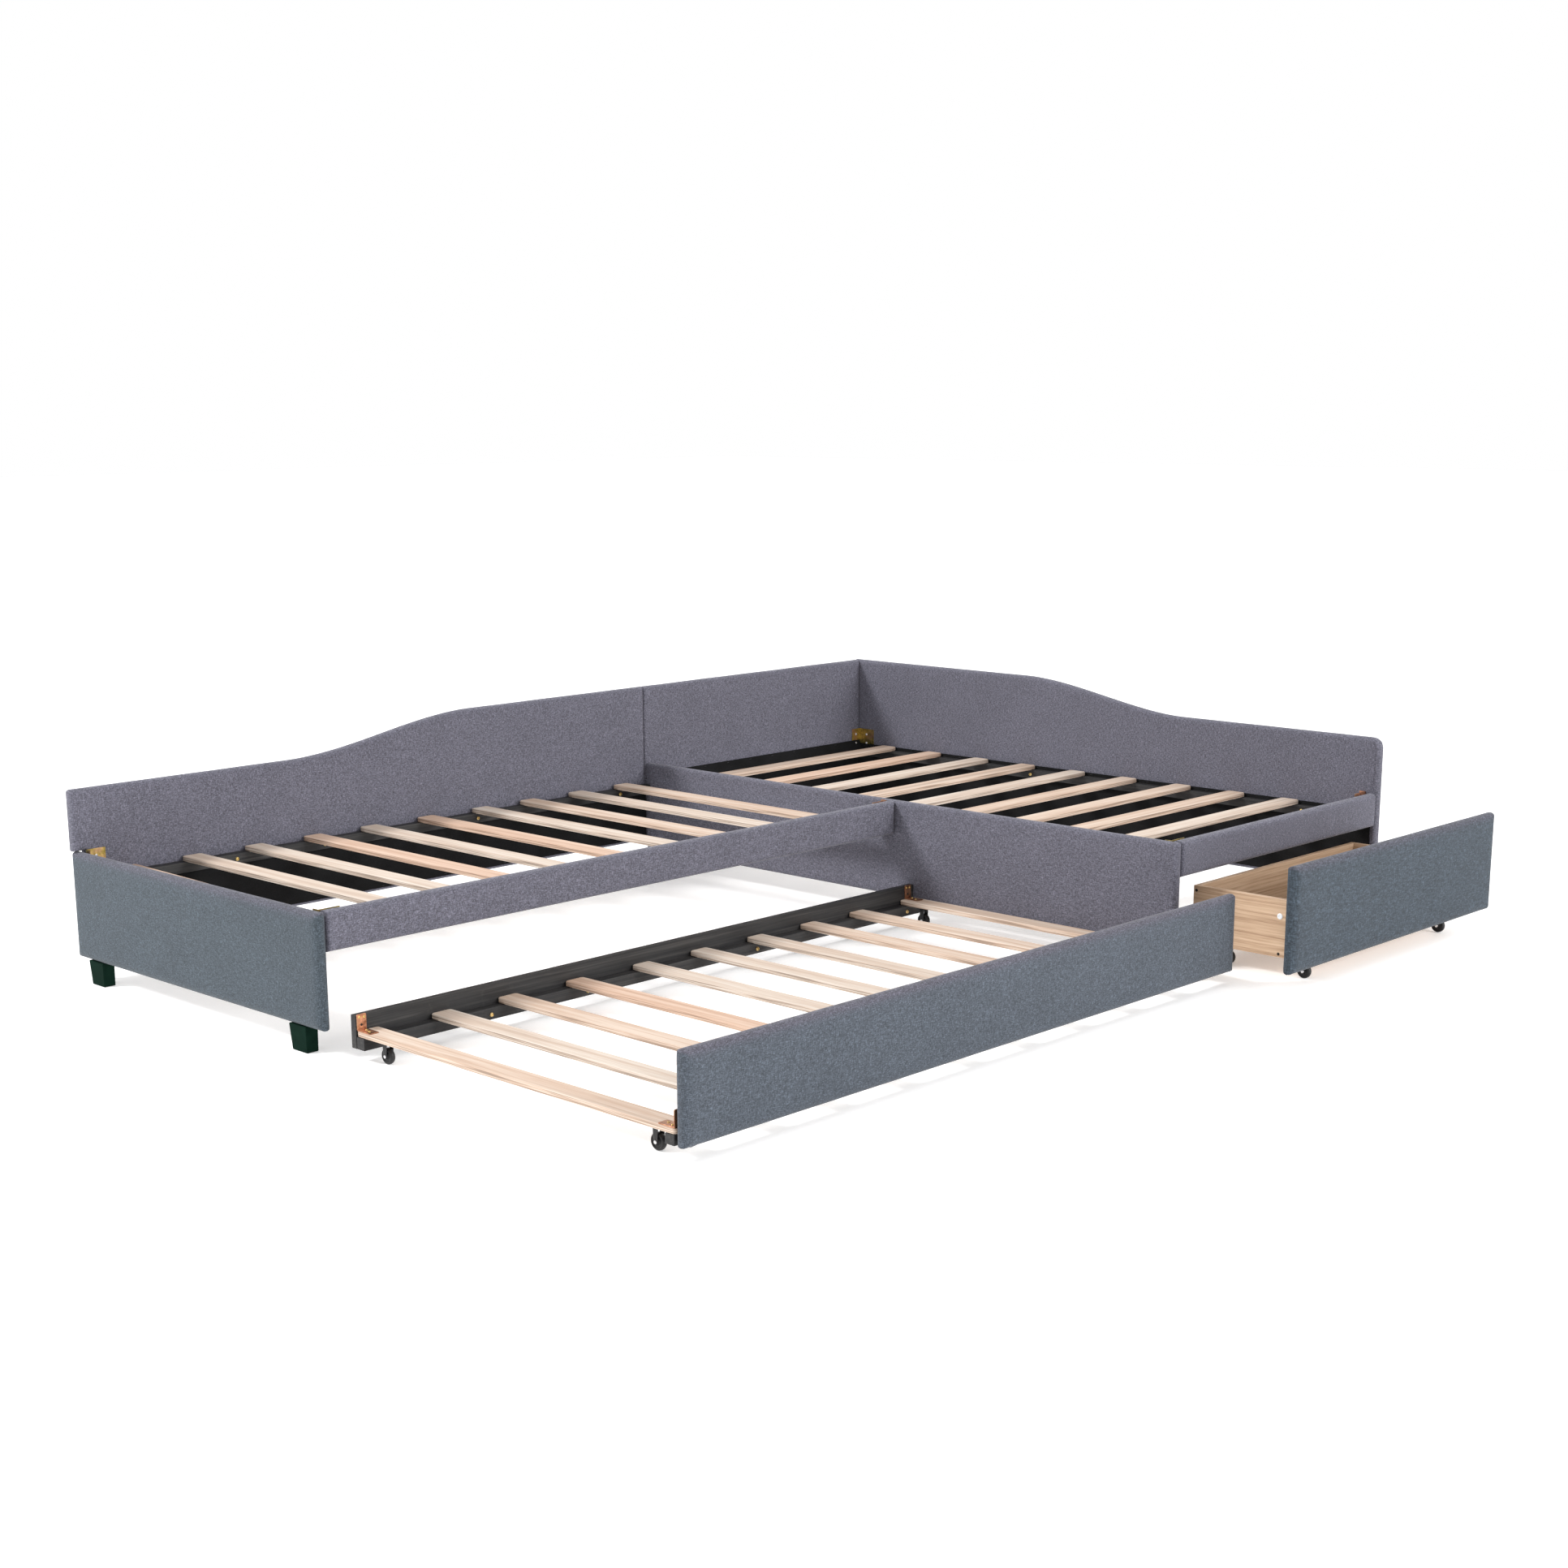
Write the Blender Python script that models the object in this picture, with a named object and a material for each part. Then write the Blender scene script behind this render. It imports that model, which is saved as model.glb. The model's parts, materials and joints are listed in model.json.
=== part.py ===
"""L-shaped upholstered twin bed with a pull-out trundle and a rolling foot drawer.

Metres, +Z up, floor at z = 0, origin under the middle of the whole object.
Bed A lies along X against the back panels. Bed B lies along Y against the side panel.
The trundle and the drawer are modelled pulled out, towards -Y.
"""
import math

import bmesh
import bpy
from mathutils import Vector

# ---------------------------------------------------------------- driving sizes
TOUCH = 0.0003            # gap kept between faces that touch

BAY_A_LENGTH = 1.950      # footboard to divider, inside
BAY_A_WIDTH = 1.006       # back panel to front rail, inside
BAY_B_LENGTH = 1.948      # back panel to foot rail, inside
BAY_B_WIDTH = 0.988       # divider to side panel, inside
PANEL_T = 0.030           # back, side and divider panels
FOOTBOARD_T = 0.032
RAIL_T = 0.035
PANEL_BOTTOM = 0.062
BACK_BOTTOM = 0.089        # back panels hang higher than the rest
FOOTBOARD_SETBACK = 0.006  # footboard's end short of the back panels' outer face
LOW_TOP = 0.337           # footboard, divider and rails
RAIL_BOTTOM = 0.2415
BACK_LOW_TOP = 0.497      # back and side panels at their low ends
BACK_HIGH_TOP = 0.577
BACK_RISE_START = 0.664   # from the back panel's free end
BACK_RISE_LENGTH = 0.640
BACK_END_RADIUS = 0.010
SIDE_DROP_START = 0.700   # from the back panel's face
SIDE_DROP_LENGTH = 0.620
SIDE_END_RADIUS = 0.030
SOFT_EDGE = 0.008         # rounding of upholstered edges
WOOD_EDGE = 0.0012

SLAT_COUNT = 10
SLAT_W = 0.058
SLAT_T = 0.013
SLAT_TOP_A = 0.285
SLAT_TOP_B = 0.293
SLAT_INSET_A = 0.078      # first and last slat of bed A from its ends
SLAT_NEAR_B = 0.009       # nearest slat of bed B from the foot rail
SLAT_FAR_B = 0.122        # farthest slat of bed B from the back panel
SLAT_END_GAP = 0.005      # slat ends short of the panels beside them
LEDGER_W = 0.027
LEDGER_H = 0.029
LEDGER_NOTCH = 0.001      # how far the fixed slats are let into their ledgers
LEDGER_END_GAP = 0.004
LEDGER_CORNER_GAP = 0.068  # bed B's ledgers stop short of the corner bracket

FOOT_TOP = (0.034, 0.066)
FOOT_BOTTOM = (0.032, 0.057)
FOOT_INSET_X = 0.020      # foot middle from the panel's outer face
FOOT_BACK = 0.095         # near face of the back feet from the back panel
FOOT_FRONT = 0.064        # near face of the front feet from the panel's front end

BRACKET_T = 0.002
BRACKET_BOTTOM = 0.274
BRACKET_FOOT_BOTTOM = 0.304   # above a slat that lies close to its corner
BRACKET_TOP = 0.336       # just under the rails' tops
BRACKET_WALL_TOP = 0.341  # against the back and side panels
BRACKET_ON_RAIL = 0.060   # leg lengths
BRACKET_ON_END = 0.020
BRACKET_ON_BACK = (0.054, 0.041)   # at the footboard, at the side panel
BRACKET_ON_SIDE = 0.066
BRACKET_HOLE_R = 0.0028
HOLE_SHARES = (0.28, 0.72)
HOLE_STEPS = 16

DRAWER_OUT = 0.317        # drawer travel from closed to its place here
DRAWER_FRONT_T = 0.034
DRAWER_FRONT_BOTTOM = 0.048
DRAWER_FRONT_TOP = 0.322
DRAWER_FRONT_GAP = 0.002
DRAWER_SIDE_GAP = 0.001   # front panel inside the bed's outer faces
DRAWER_OVERLAP = 0.120    # front panel past each side wall
DRAWER_DEPTH = 0.340
DRAWER_WALL_T = 0.015
DRAWER_WALL_BOTTOM = 0.0555
DRAWER_WALL_TOP = 0.2075
DRAWER_BOTTOM_T = 0.012
DRAWER_CASTER_X = 0.051   # caster middle from the side wall's outer face
DRAWER_CASTER_FRONT = 0.033
DRAWER_CASTER_REAR = 0.082

TRUNDLE_DEPTH = 1.080     # back rail to front face
TRUNDLE_OUT = 1.092       # trundle travel from closed to its place here
TRUNDLE_BACK_GAP = 0.006  # closed back rail to the back panel
TRUNDLE_SIDE_GAP = 0.010
TRUNDLE_FRONT_T = 0.034
TRUNDLE_FRONT_BOTTOM = 0.0345
TRUNDLE_FRONT_TOP = 0.2350
TRUNDLE_RAIL_T = 0.018
TRUNDLE_RAIL_BOTTOM = 0.030
TRUNDLE_RAIL_TOP = 0.108
TRUNDLE_LEDGER_TOP = 0.059
TRUNDLE_FRONT_LEDGER_LIFT = 0.006
TRUNDLE_PART_GAP = 0.001  # ledger ends inside the panel and rail ends
TRUNDLE_SLAT_GAP = 0.002  # end slats inside the panel and rail ends
TRUNDLE_CASTER_SHIFT = {"left": 0.008, "right": 0.002}   # towards the right, from the end slat's middle
TRUNDLE_CASTER_FRONT = 0.084
TRUNDLE_CASTER_REAR = 0.064
TRUNDLE_BRACKET_RISE = 0.038
TRUNDLE_BRACKET_RUN = 0.048
TRUNDLE_BRACKET_W = 0.026
TRUNDLE_BRACKET_SHIFT = {"left": -0.016, "right": 0.005}   # from the same middle

WHEEL_R = 0.019
WHEEL_W = 0.014
WHEEL_STEPS = 32
AXLE_R = 0.003
AXLE_CLEARANCE = 0.0004
AXLE_PAST_LEG = 0.0015
FORK_DEPTH = 0.015
FORK_PLATE_HALF = 0.019
FORK_PLATE_T = 0.0025
FORK_LEG_T = 0.002
FORK_LEG_BELOW_AXLE = 0.006
FORK_WHEEL_GAP = 0.0012

# ---------------------------------------------------------------- derived places
TOTAL_X = FOOTBOARD_T + BAY_A_LENGTH + PANEL_T + BAY_B_WIDTH + PANEL_T
X_LEFT = -TOTAL_X / 2
X_BAY_A = X_LEFT + FOOTBOARD_T
X_DIVIDER = X_BAY_A + BAY_A_LENGTH
X_BAY_B = X_DIVIDER + PANEL_T
X_SIDE = X_BAY_B + BAY_B_WIDTH
X_RIGHT = X_SIDE + PANEL_T

FOOT_END = BAY_B_LENGTH + RAIL_T
TOTAL_Y = PANEL_T + FOOT_END + DRAWER_FRONT_GAP + DRAWER_OUT + DRAWER_FRONT_T
Y_BACK = TOTAL_Y / 2
Y_WALL = Y_BACK - PANEL_T
Y_RAIL_IN = Y_WALL - BAY_A_WIDTH
Y_RAIL_OUT = Y_RAIL_IN - RAIL_T
Y_FOOT_IN = Y_WALL - BAY_B_LENGTH
Y_FOOT_OUT = Y_WALL - FOOT_END

# Hand-set slats sit a few millimetres off their even pitch.
DRIFT_A = (0, 0.002, 0.001, -0.002, -0.004, 0.003, 0.010, 0, -0.001, -0.007)
DRIFT_B = (-0.008, -0.003, 0.003, 0, 0.003, 0.004, 0.008, 0.002, -0.009, 0)
DRIFT_TRUNDLE = (0, 0, -0.009, -0.005, 0.009, 0.004, 0.004, 0.001, -0.009, 0)

# ---------------------------------------------------------------- colours
FINISHES = {
    "fabric": ((0.145, 0.150, 0.175), 0.95, 0.0),
    "black_wood": ((0.018, 0.018, 0.020), 0.55, 0.0),
    "slat_wood": ((0.760, 0.590, 0.430), 0.60, 0.0),
    "drawer_wood": ((0.520, 0.340, 0.215), 0.50, 0.0),
    "foot_plastic": ((0.012, 0.014, 0.014), 0.50, 0.0),
    "zinc": ((0.620, 0.420, 0.180), 0.35, 1.0),
    "copper_zinc": ((0.640, 0.270, 0.120), 0.38, 1.0),
    "caster_frame": ((0.014, 0.014, 0.015), 0.45, 0.0),
    "caster_tread": ((0.010, 0.010, 0.011), 0.60, 0.0),
}


def finish(object_name, slot):
    """A material of its own for one object, in the colour of its slot."""
    colour, roughness, metallic = FINISHES[slot]
    material = bpy.data.materials.new(f"{slot}_{object_name}")
    material.use_nodes = True
    shader = material.node_tree.nodes["Principled BSDF"]
    shader.inputs["Base Color"].default_value = (*colour, 1.0)
    shader.inputs["Roughness"].default_value = roughness
    shader.inputs["Metallic"].default_value = metallic
    return material


# ---------------------------------------------------------------- making objects
def clear_scene():
    for thing in list(bpy.data.objects):
        bpy.data.objects.remove(thing, do_unlink=True)


def place(name, mesh, slot, at, parent=None):
    """Link a mesh as a named object whose origin is at a world place."""
    thing = bpy.data.objects.new(name, mesh)
    bpy.context.collection.objects.link(thing)
    thing.location = Vector(at)
    if parent:
        thing.parent = parent
        thing.location -= parent.location
    thing.data.materials.append(finish(name, slot))
    return thing


def new_mesh(name, solid):
    bmesh.ops.recalc_face_normals(solid, faces=solid.faces)
    mesh = bpy.data.meshes.new(name)
    solid.to_mesh(mesh)
    solid.free()
    return mesh


def empty_at(name, at):
    thing = bpy.data.objects.new(name, None)
    bpy.context.collection.objects.link(thing)
    thing.location = Vector(at)
    return thing


def box_mesh(name, size):
    solid = bmesh.new()
    bmesh.ops.create_cube(solid, size=1.0)
    bmesh.ops.scale(solid, vec=Vector(size), verts=solid.verts)
    return new_mesh(name, solid)


def soften(thing, width, segments):
    """Round the edges of an object with a bevel."""
    bevel = thing.modifiers.new("edges", "BEVEL")
    bevel.width = width
    bevel.segments = segments
    bevel.limit_method = "ANGLE"


def box(name, low, high, slot, parent=None, edge=WOOD_EDGE, segments=2):
    """A rounded box between two world corners."""
    low = Vector(low)
    high = Vector(high)
    thing = place(name, box_mesh(name, high - low), slot, (low + high) / 2, parent)
    soften(thing, edge, segments)
    return thing


def padded_box(name, low, high, parent=None):
    return box(name, low, high, "fabric", parent, edge=SOFT_EDGE, segments=3)


def extruded(name, outline, thickness):
    """A closed solid from an outline of (x, z) points, thick along Y about y = 0."""
    solid = bmesh.new()
    front = [solid.verts.new((x, -thickness / 2, z)) for x, z in outline]
    face = solid.faces.new(front)
    grown = bmesh.ops.extrude_face_region(solid, geom=[face])
    moved = [part for part in grown["geom"] if isinstance(part, bmesh.types.BMVert)]
    bmesh.ops.translate(solid, vec=(0, thickness, 0), verts=moved)
    return new_mesh(name, solid)


def bake(thing, name):
    """The mesh that an object's modifiers make, with the object itself removed."""
    seen = thing.evaluated_get(bpy.context.evaluated_depsgraph_get())
    mesh = bpy.data.meshes.new_from_object(seen)
    mesh.name = name
    mesh.materials.clear()
    bpy.data.objects.remove(thing, do_unlink=True)
    return mesh


def combine(target, tools, operation):
    """Join tools to a target, or cut them from it, and give back the plain mesh."""
    group = bpy.data.collections.new("tools")
    for tool in tools:
        bpy.context.collection.objects.unlink(tool)
        group.objects.link(tool)
    bpy.context.collection.children.link(group)
    boolean = target.modifiers.new("combine", "BOOLEAN")
    boolean.operation = operation
    boolean.operand_type = "COLLECTION"
    boolean.collection = group
    mesh = bake(target, target.name)
    for tool in tools:
        bpy.data.objects.remove(tool, do_unlink=True)
    bpy.data.collections.remove(group)
    return mesh


# ---------------------------------------------------------------- upholstered panels
def s_curve(start, end, low, high, points=14):
    """Points of a smooth rise from (start, low) to (end, high)."""
    curve = []
    for step in range(points + 1):
        share = step / points
        rise = share * share * (3 - 2 * share)
        curve.append((start + (end - start) * share, low + (high - low) * rise))
    return curve


def corner_arc(x, z, radius, start, end, points=6):
    """Points of a round corner about a centre, with angles in degrees."""
    arc = []
    for step in range(points + 1):
        angle = math.radians(start + (end - start) * step / points)
        arc.append((x + radius * math.cos(angle), z + radius * math.sin(angle)))
    return arc


def back_panels():
    """Back panels, which meet at the divider's bed A face; the long one rests on the footboard."""
    rise_start = X_LEFT + BACK_RISE_START
    rise_end = rise_start + BACK_RISE_LENGTH
    seam = X_DIVIDER - TOUCH
    radius = BACK_END_RADIUS
    notch_x = X_BAY_A + TOUCH
    notch_z = LOW_TOP + TOUCH
    outline = [(notch_x, BACK_BOTTOM), (seam, BACK_BOTTOM), (seam, BACK_HIGH_TOP)]
    outline += s_curve(rise_end, rise_start, BACK_HIGH_TOP, BACK_LOW_TOP)
    outline += corner_arc(X_LEFT + radius, BACK_LOW_TOP - radius, radius, 90, 180)
    outline += [(X_LEFT, notch_z), (notch_x, notch_z)]
    mesh = extruded("back_panel_long", outline, PANEL_T)
    panel = place("back_panel_long", mesh, "fabric", (0, Y_WALL + PANEL_T / 2, 0))
    soften(panel, SOFT_EDGE, 3)
    low = (X_DIVIDER + TOUCH, Y_WALL, BACK_BOTTOM)
    padded_box("back_panel_short", low, (X_SIDE - TOUCH, Y_BACK, BACK_HIGH_TOP))


def side_panel():
    """Panel along bed B's outer side: it drops towards the foot and ends in a round corner."""
    high_end = Y_WALL - SIDE_DROP_START
    low_start = high_end - SIDE_DROP_LENGTH
    radius = SIDE_END_RADIUS
    outline = [(Y_BACK, PANEL_BOTTOM), (Y_BACK, BACK_HIGH_TOP)]
    outline += s_curve(high_end, low_start, BACK_HIGH_TOP, BACK_LOW_TOP)
    outline += corner_arc(Y_FOOT_OUT + radius, BACK_LOW_TOP - radius, radius, 90, 180)
    outline.append((Y_FOOT_OUT, PANEL_BOTTOM))
    mesh = extruded("side_panel", outline, PANEL_T)
    panel = place("side_panel", mesh, "fabric", (X_SIDE + PANEL_T / 2, 0, 0))
    panel.rotation_euler.z = math.pi / 2
    soften(panel, SOFT_EDGE, 3)


def low_panels():
    """Footboard, divider and the two narrow rails that leave the bays open below."""
    back = Y_WALL - TOUCH
    footboard_back = Y_BACK - FOOTBOARD_SETBACK
    spans = {
        "footboard": ((X_LEFT, Y_RAIL_OUT, PANEL_BOTTOM), (X_BAY_A, footboard_back, LOW_TOP)),
        "divider_panel": ((X_DIVIDER, Y_FOOT_OUT, PANEL_BOTTOM), (X_BAY_B, back, LOW_TOP)),
        "front_rail": ((X_BAY_A + TOUCH, Y_RAIL_OUT, RAIL_BOTTOM), (X_DIVIDER - TOUCH, Y_RAIL_IN, LOW_TOP)),
        "foot_rail": ((X_BAY_B + TOUCH, Y_FOOT_OUT, RAIL_BOTTOM), (X_SIDE - TOUCH, Y_FOOT_IN, LOW_TOP)),
    }
    for name, (low, high) in spans.items():
        padded_box(name, low, high)


# ---------------------------------------------------------------- slat decks
def even_starts(start, end, drift):
    """Near edges of evenly spread slats that fill a span."""
    pitch = (end - start - SLAT_W) / (SLAT_COUNT - 1)
    return [start + pitch * index + drift[index] for index in range(SLAT_COUNT)]


def deck(name, ledgers, slats):
    """Slats let into two ledgers, as one solid."""
    parts = []
    for low, high in ledgers + slats:
        low = Vector(low)
        high = Vector(high)
        parts.append(place("tool", box_mesh("tool", high - low), "slat_wood", (low + high) / 2))
    target = parts.pop(0)
    middle = target.location.copy()
    mesh = combine(target, parts, "UNION")
    mesh.name = name
    place(name, mesh, "slat_wood", middle)


def deck_a():
    """Bed A: slats run back to front between the back panel and the front rail."""
    under = SLAT_TOP_A - SLAT_T
    top = under + LEDGER_NOTCH
    left = X_BAY_A + LEDGER_END_GAP
    right = X_DIVIDER - LEDGER_END_GAP
    back = Y_WALL - TOUCH
    front = Y_RAIL_IN + TOUCH
    ledgers = [((left, back - LEDGER_W, top - LEDGER_H), (right, back, top)),
               ((left, front, top - LEDGER_H), (right, front + LEDGER_W, top))]
    near = front + SLAT_END_GAP
    far = back - SLAT_END_GAP
    starts = even_starts(X_BAY_A + SLAT_INSET_A, X_DIVIDER - SLAT_INSET_A, DRIFT_A)
    slats = [((x, near, under), (x + SLAT_W, far, SLAT_TOP_A)) for x in starts]
    deck("bed_a_slat_deck", ledgers, slats)


def deck_b():
    """Bed B: slats run side to side between the divider and the side panel."""
    under = SLAT_TOP_B - SLAT_T
    top = under + LEDGER_NOTCH
    left = X_BAY_B + TOUCH
    right = X_SIDE - TOUCH
    near = Y_FOOT_IN + LEDGER_END_GAP
    far = Y_WALL - LEDGER_CORNER_GAP
    ledgers = [((left, near, top - LEDGER_H), (left + LEDGER_W, far, top)),
               ((right - LEDGER_W, near, top - LEDGER_H), (right, far, top))]
    drift = [-value for value in reversed(DRIFT_B)]
    starts = even_starts(Y_FOOT_IN + SLAT_NEAR_B, Y_WALL - SLAT_FAR_B, drift)
    low_x = left + SLAT_END_GAP
    high_x = right - SLAT_END_GAP
    slats = [((low_x, y, under), (high_x, y + SLAT_W, SLAT_TOP_B)) for y in starts]
    deck("bed_b_slat_deck", ledgers, slats)


# ---------------------------------------------------------------- feet and corner brackets
def foot_mesh(name):
    """A block that tapers towards the floor, with its near (-Y) face upright at y = 0."""
    solid = bmesh.new()
    rings = []
    for (width, depth), z in ((FOOT_BOTTOM, 0.0), (FOOT_TOP, PANEL_BOTTOM - TOUCH)):
        half = width / 2
        corners = [(-half, 0), (half, 0), (half, depth), (-half, depth)]
        rings.append([solid.verts.new((x, y, z)) for x, y in corners])
    lower, upper = rings
    solid.faces.new(lower)
    solid.faces.new(upper)
    for index in range(4):
        after = (index + 1) % 4
        solid.faces.new((lower[index], lower[after], upper[after], upper[index]))
    return new_mesh(name, solid)


def feet():
    """Two feet under each of the footboard, the divider and the side panel."""
    stands = {
        "footboard": (X_LEFT + FOOT_INSET_X, Y_RAIL_OUT),
        "divider": (X_DIVIDER + FOOT_INSET_X, Y_FOOT_OUT),
        "side": (X_RIGHT - FOOT_INSET_X, Y_FOOT_OUT),
    }
    for panel, (x, panel_front) in stands.items():
        for end, y in (("back", Y_WALL - FOOT_BACK), ("front", panel_front + FOOT_FRONT)):
            name = f"foot_{panel}_{end}"
            foot = place(name, foot_mesh(name), "foot_plastic", (x, y, 0))
            soften(foot, WOOD_EDGE, 1)


def hole_tools(centres, axis, radius, reach):
    """Round cutters through given places along an axis."""
    tools = []
    for centre in centres:
        solid = bmesh.new()
        ends = {"radius1": radius, "radius2": radius}
        bmesh.ops.create_cone(solid, cap_ends=True, segments=HOLE_STEPS, depth=reach, **ends)
        tool = place("tool", new_mesh("tool", solid), "zinc", centre)
        if axis == "x":
            tool.rotation_euler.y = math.pi / 2
        if axis == "y":
            tool.rotation_euler.x = math.pi / 2
        tools.append(tool)
    return tools


def angle_bracket_mesh(name, leg_x, leg_y, height):
    """A bent sheet in an L: one leg along +X, one along +Y, two holes in each."""
    thick = BRACKET_T
    outline = [(0, 0), (leg_x, 0), (leg_x, thick), (thick, thick), (thick, leg_y), (0, leg_y)]
    solid = bmesh.new()
    base = solid.faces.new([solid.verts.new((x, y, 0)) for x, y in outline])
    grown = bmesh.ops.extrude_face_region(solid, geom=[base])
    moved = [part for part in grown["geom"] if isinstance(part, bmesh.types.BMVert)]
    bmesh.ops.translate(solid, vec=(0, 0, height), verts=moved)
    target = place(name, new_mesh(name, solid), "zinc", (0, 0, 0))
    on_x = [(leg_x / 2, 0, height * share) for share in HOLE_SHARES]
    on_y = [(0, leg_y / 2, height * share) for share in HOLE_SHARES]
    reach = 6 * thick
    tools = hole_tools(on_x, "y", BRACKET_HOLE_R, reach)
    tools += hole_tools(on_y, "x", BRACKET_HOLE_R, reach)
    return combine(target, tools, "DIFFERENCE")


def bed_brackets():
    """Angle brackets in the upright corners, each with a leg on either panel."""
    rail = BRACKET_ON_RAIL
    end = BRACKET_ON_END
    at_footboard, at_side = BRACKET_ON_BACK
    corners = {
        "bracket_footboard_back": (X_BAY_A, Y_WALL, -90, end, at_footboard),
        "bracket_footboard_rail": (X_BAY_A, Y_RAIL_IN, 0, rail, end),
        "bracket_divider_rail": (X_DIVIDER, Y_RAIL_IN, 90, end, rail),
        "bracket_back_corner": (X_SIDE, Y_WALL, 180, at_side, BRACKET_ON_SIDE),
        "bracket_side_foot": (X_SIDE, Y_FOOT_IN, 90, end, rail),
        "bracket_divider_foot": (X_BAY_B, Y_FOOT_IN, 0, rail, end),
    }
    for name, (x, y, turn, leg_x, leg_y) in corners.items():
        bottom = BRACKET_FOOT_BOTTOM if name.endswith("foot") else BRACKET_BOTTOM
        top = BRACKET_WALL_TOP if "back" in name or "side" in name else BRACKET_TOP
        mesh = angle_bracket_mesh(name, leg_x, leg_y, top - bottom)
        angle = math.radians(turn)
        cosine = math.cos(angle)
        sine = math.sin(angle)
        inward = Vector((cosine - sine, sine + cosine, 0)) * TOUCH
        corner = Vector((x, y, bottom))
        bracket = place(name, mesh, "zinc", corner + inward)
        bracket.rotation_euler.z = angle


# ---------------------------------------------------------------- casters
def fork_mesh(name, height):
    """A caster frame with its axle: plate on top, two legs, and a pin through both."""
    inner = WHEEL_W / 2 + FORK_WHEEL_GAP
    outer = inner + FORK_LEG_T
    plate = FORK_PLATE_HALF
    end = -FORK_LEG_BELOW_AXLE
    top = height - WHEEL_R
    under = top - FORK_PLATE_T
    outline = [(-outer, end), (-inner, end), (-inner, under), (inner, under)]
    outline += [(inner, end), (outer, end), (outer, under), (plate, under)]
    outline += [(plate, top), (-plate, top), (-plate, under), (-outer, under)]
    frame = place(name, extruded(name, outline, FORK_DEPTH), "caster_frame", (0, 0, 0))
    pin = hole_tools([(0, 0, 0)], "x", AXLE_R, 2 * (outer + AXLE_PAST_LEG))
    return combine(frame, pin, "UNION")


def wheel_mesh(name):
    """A wheel turned about X: rounded tread, dished sides and a bore with clearance."""
    half = WHEEL_W / 2
    bore = AXLE_R + AXLE_CLEARANCE
    hub = 0.0065
    dish = 0.002
    profile = [(-half, bore), (-half, hub), (-half + dish, hub + dish)]
    profile += [(-half + dish, WHEEL_R - 0.0045), (-half + 0.0005, WHEEL_R - 0.0025)]
    profile += [(-half + 0.003, WHEEL_R - 0.0004), (0, WHEEL_R)]
    profile += [(-x, radius) for x, radius in reversed(profile[:-1])]
    solid = bmesh.new()
    rings = []
    for step in range(WHEEL_STEPS):
        angle = 2 * math.pi * step / WHEEL_STEPS
        sine = math.sin(angle)
        cosine = math.cos(angle)
        rings.append([solid.verts.new((x, radius * sine, radius * cosine)) for x, radius in profile])
    count = len(profile)
    for step in range(WHEEL_STEPS):
        ring = rings[step]
        after = rings[(step + 1) % WHEEL_STEPS]
        for index in range(count):
            beside = (index + 1) % count
            solid.faces.new((ring[index], ring[beside], after[beside], after[index]))
    return new_mesh(name, solid)


def casters(kind, xs, ys, mount_height, parent):
    """Four casters: left and right, front and rear, with their plates under mount_height."""
    fork = fork_mesh(f"{kind}_fork", mount_height - TOUCH)
    wheel = wheel_mesh(f"{kind}_wheel")
    for side, x in zip(("left", "right"), xs):
        for end, y in zip(("front", "rear"), ys):
            axle = (x, y, WHEEL_R)
            place(f"{kind}_caster_fork_{side}_{end}", fork.copy(), "caster_frame", axle, parent)
            place(f"{kind}_caster_wheel_{side}_{end}", wheel.copy(), "caster_tread", axle, parent)


# ---------------------------------------------------------------- trundle
def trundle():
    """The pull-out bed, in its place TRUNDLE_OUT in front of its closed place."""
    back = Y_WALL - TRUNDLE_BACK_GAP - TRUNDLE_OUT
    front = back - TRUNDLE_DEPTH
    left = X_BAY_A + TRUNDLE_SIDE_GAP
    right = X_DIVIDER - TRUNDLE_SIDE_GAP
    inner_front = front + TRUNDLE_FRONT_T
    inner_back = back - TRUNDLE_RAIL_T
    parent = empty_at("trundle", ((left + right) / 2, (back + front) / 2, 0))
    low = (left, front, TRUNDLE_FRONT_BOTTOM)
    padded_box("trundle_front_panel", low, (right, inner_front, TRUNDLE_FRONT_TOP), parent)
    bottom = TRUNDLE_RAIL_BOTTOM
    high = (right, back, TRUNDLE_RAIL_TOP)
    box("trundle_back_rail", (left, inner_back, bottom), high, "black_wood", parent)

    top = TRUNDLE_LEDGER_TOP - TOUCH
    near = inner_front + TOUCH
    far = inner_back - TOUCH
    start = left + TRUNDLE_PART_GAP
    end = right - TRUNDLE_PART_GAP
    low = (start, near, bottom + TRUNDLE_FRONT_LEDGER_LIFT)
    box("trundle_ledger_front", low, (end, near + LEDGER_W, top), "black_wood", parent)
    low = (start, far - LEDGER_W, bottom)
    box("trundle_ledger_rear", low, (end, far, top), "black_wood", parent)

    starts = even_starts(left + TRUNDLE_SLAT_GAP, right - TRUNDLE_SLAT_GAP, DRIFT_TRUNDLE)
    slat_low = TRUNDLE_LEDGER_TOP
    slat_high = slat_low + SLAT_T
    for index, x in enumerate(starts, start=1):
        name = f"trundle_slat_{index:02d}"
        box(name, (x, near, slat_low), (x + SLAT_W, far, slat_high), "slat_wood", parent)
    left_middle = starts[0] + SLAT_W / 2
    right_middle = starts[-1] + SLAT_W / 2
    xs = (left_middle + TRUNDLE_CASTER_SHIFT["left"], right_middle + TRUNDLE_CASTER_SHIFT["right"])
    ys = (near + TRUNDLE_CASTER_FRONT, far - TRUNDLE_CASTER_REAR)
    casters("trundle", xs, ys, slat_low, parent)
    middles = {
        "left": left_middle + TRUNDLE_BRACKET_SHIFT["left"],
        "right": right_middle + TRUNDLE_BRACKET_SHIFT["right"],
    }
    trundle_brackets(middles, near, far, slat_high, parent)


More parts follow.
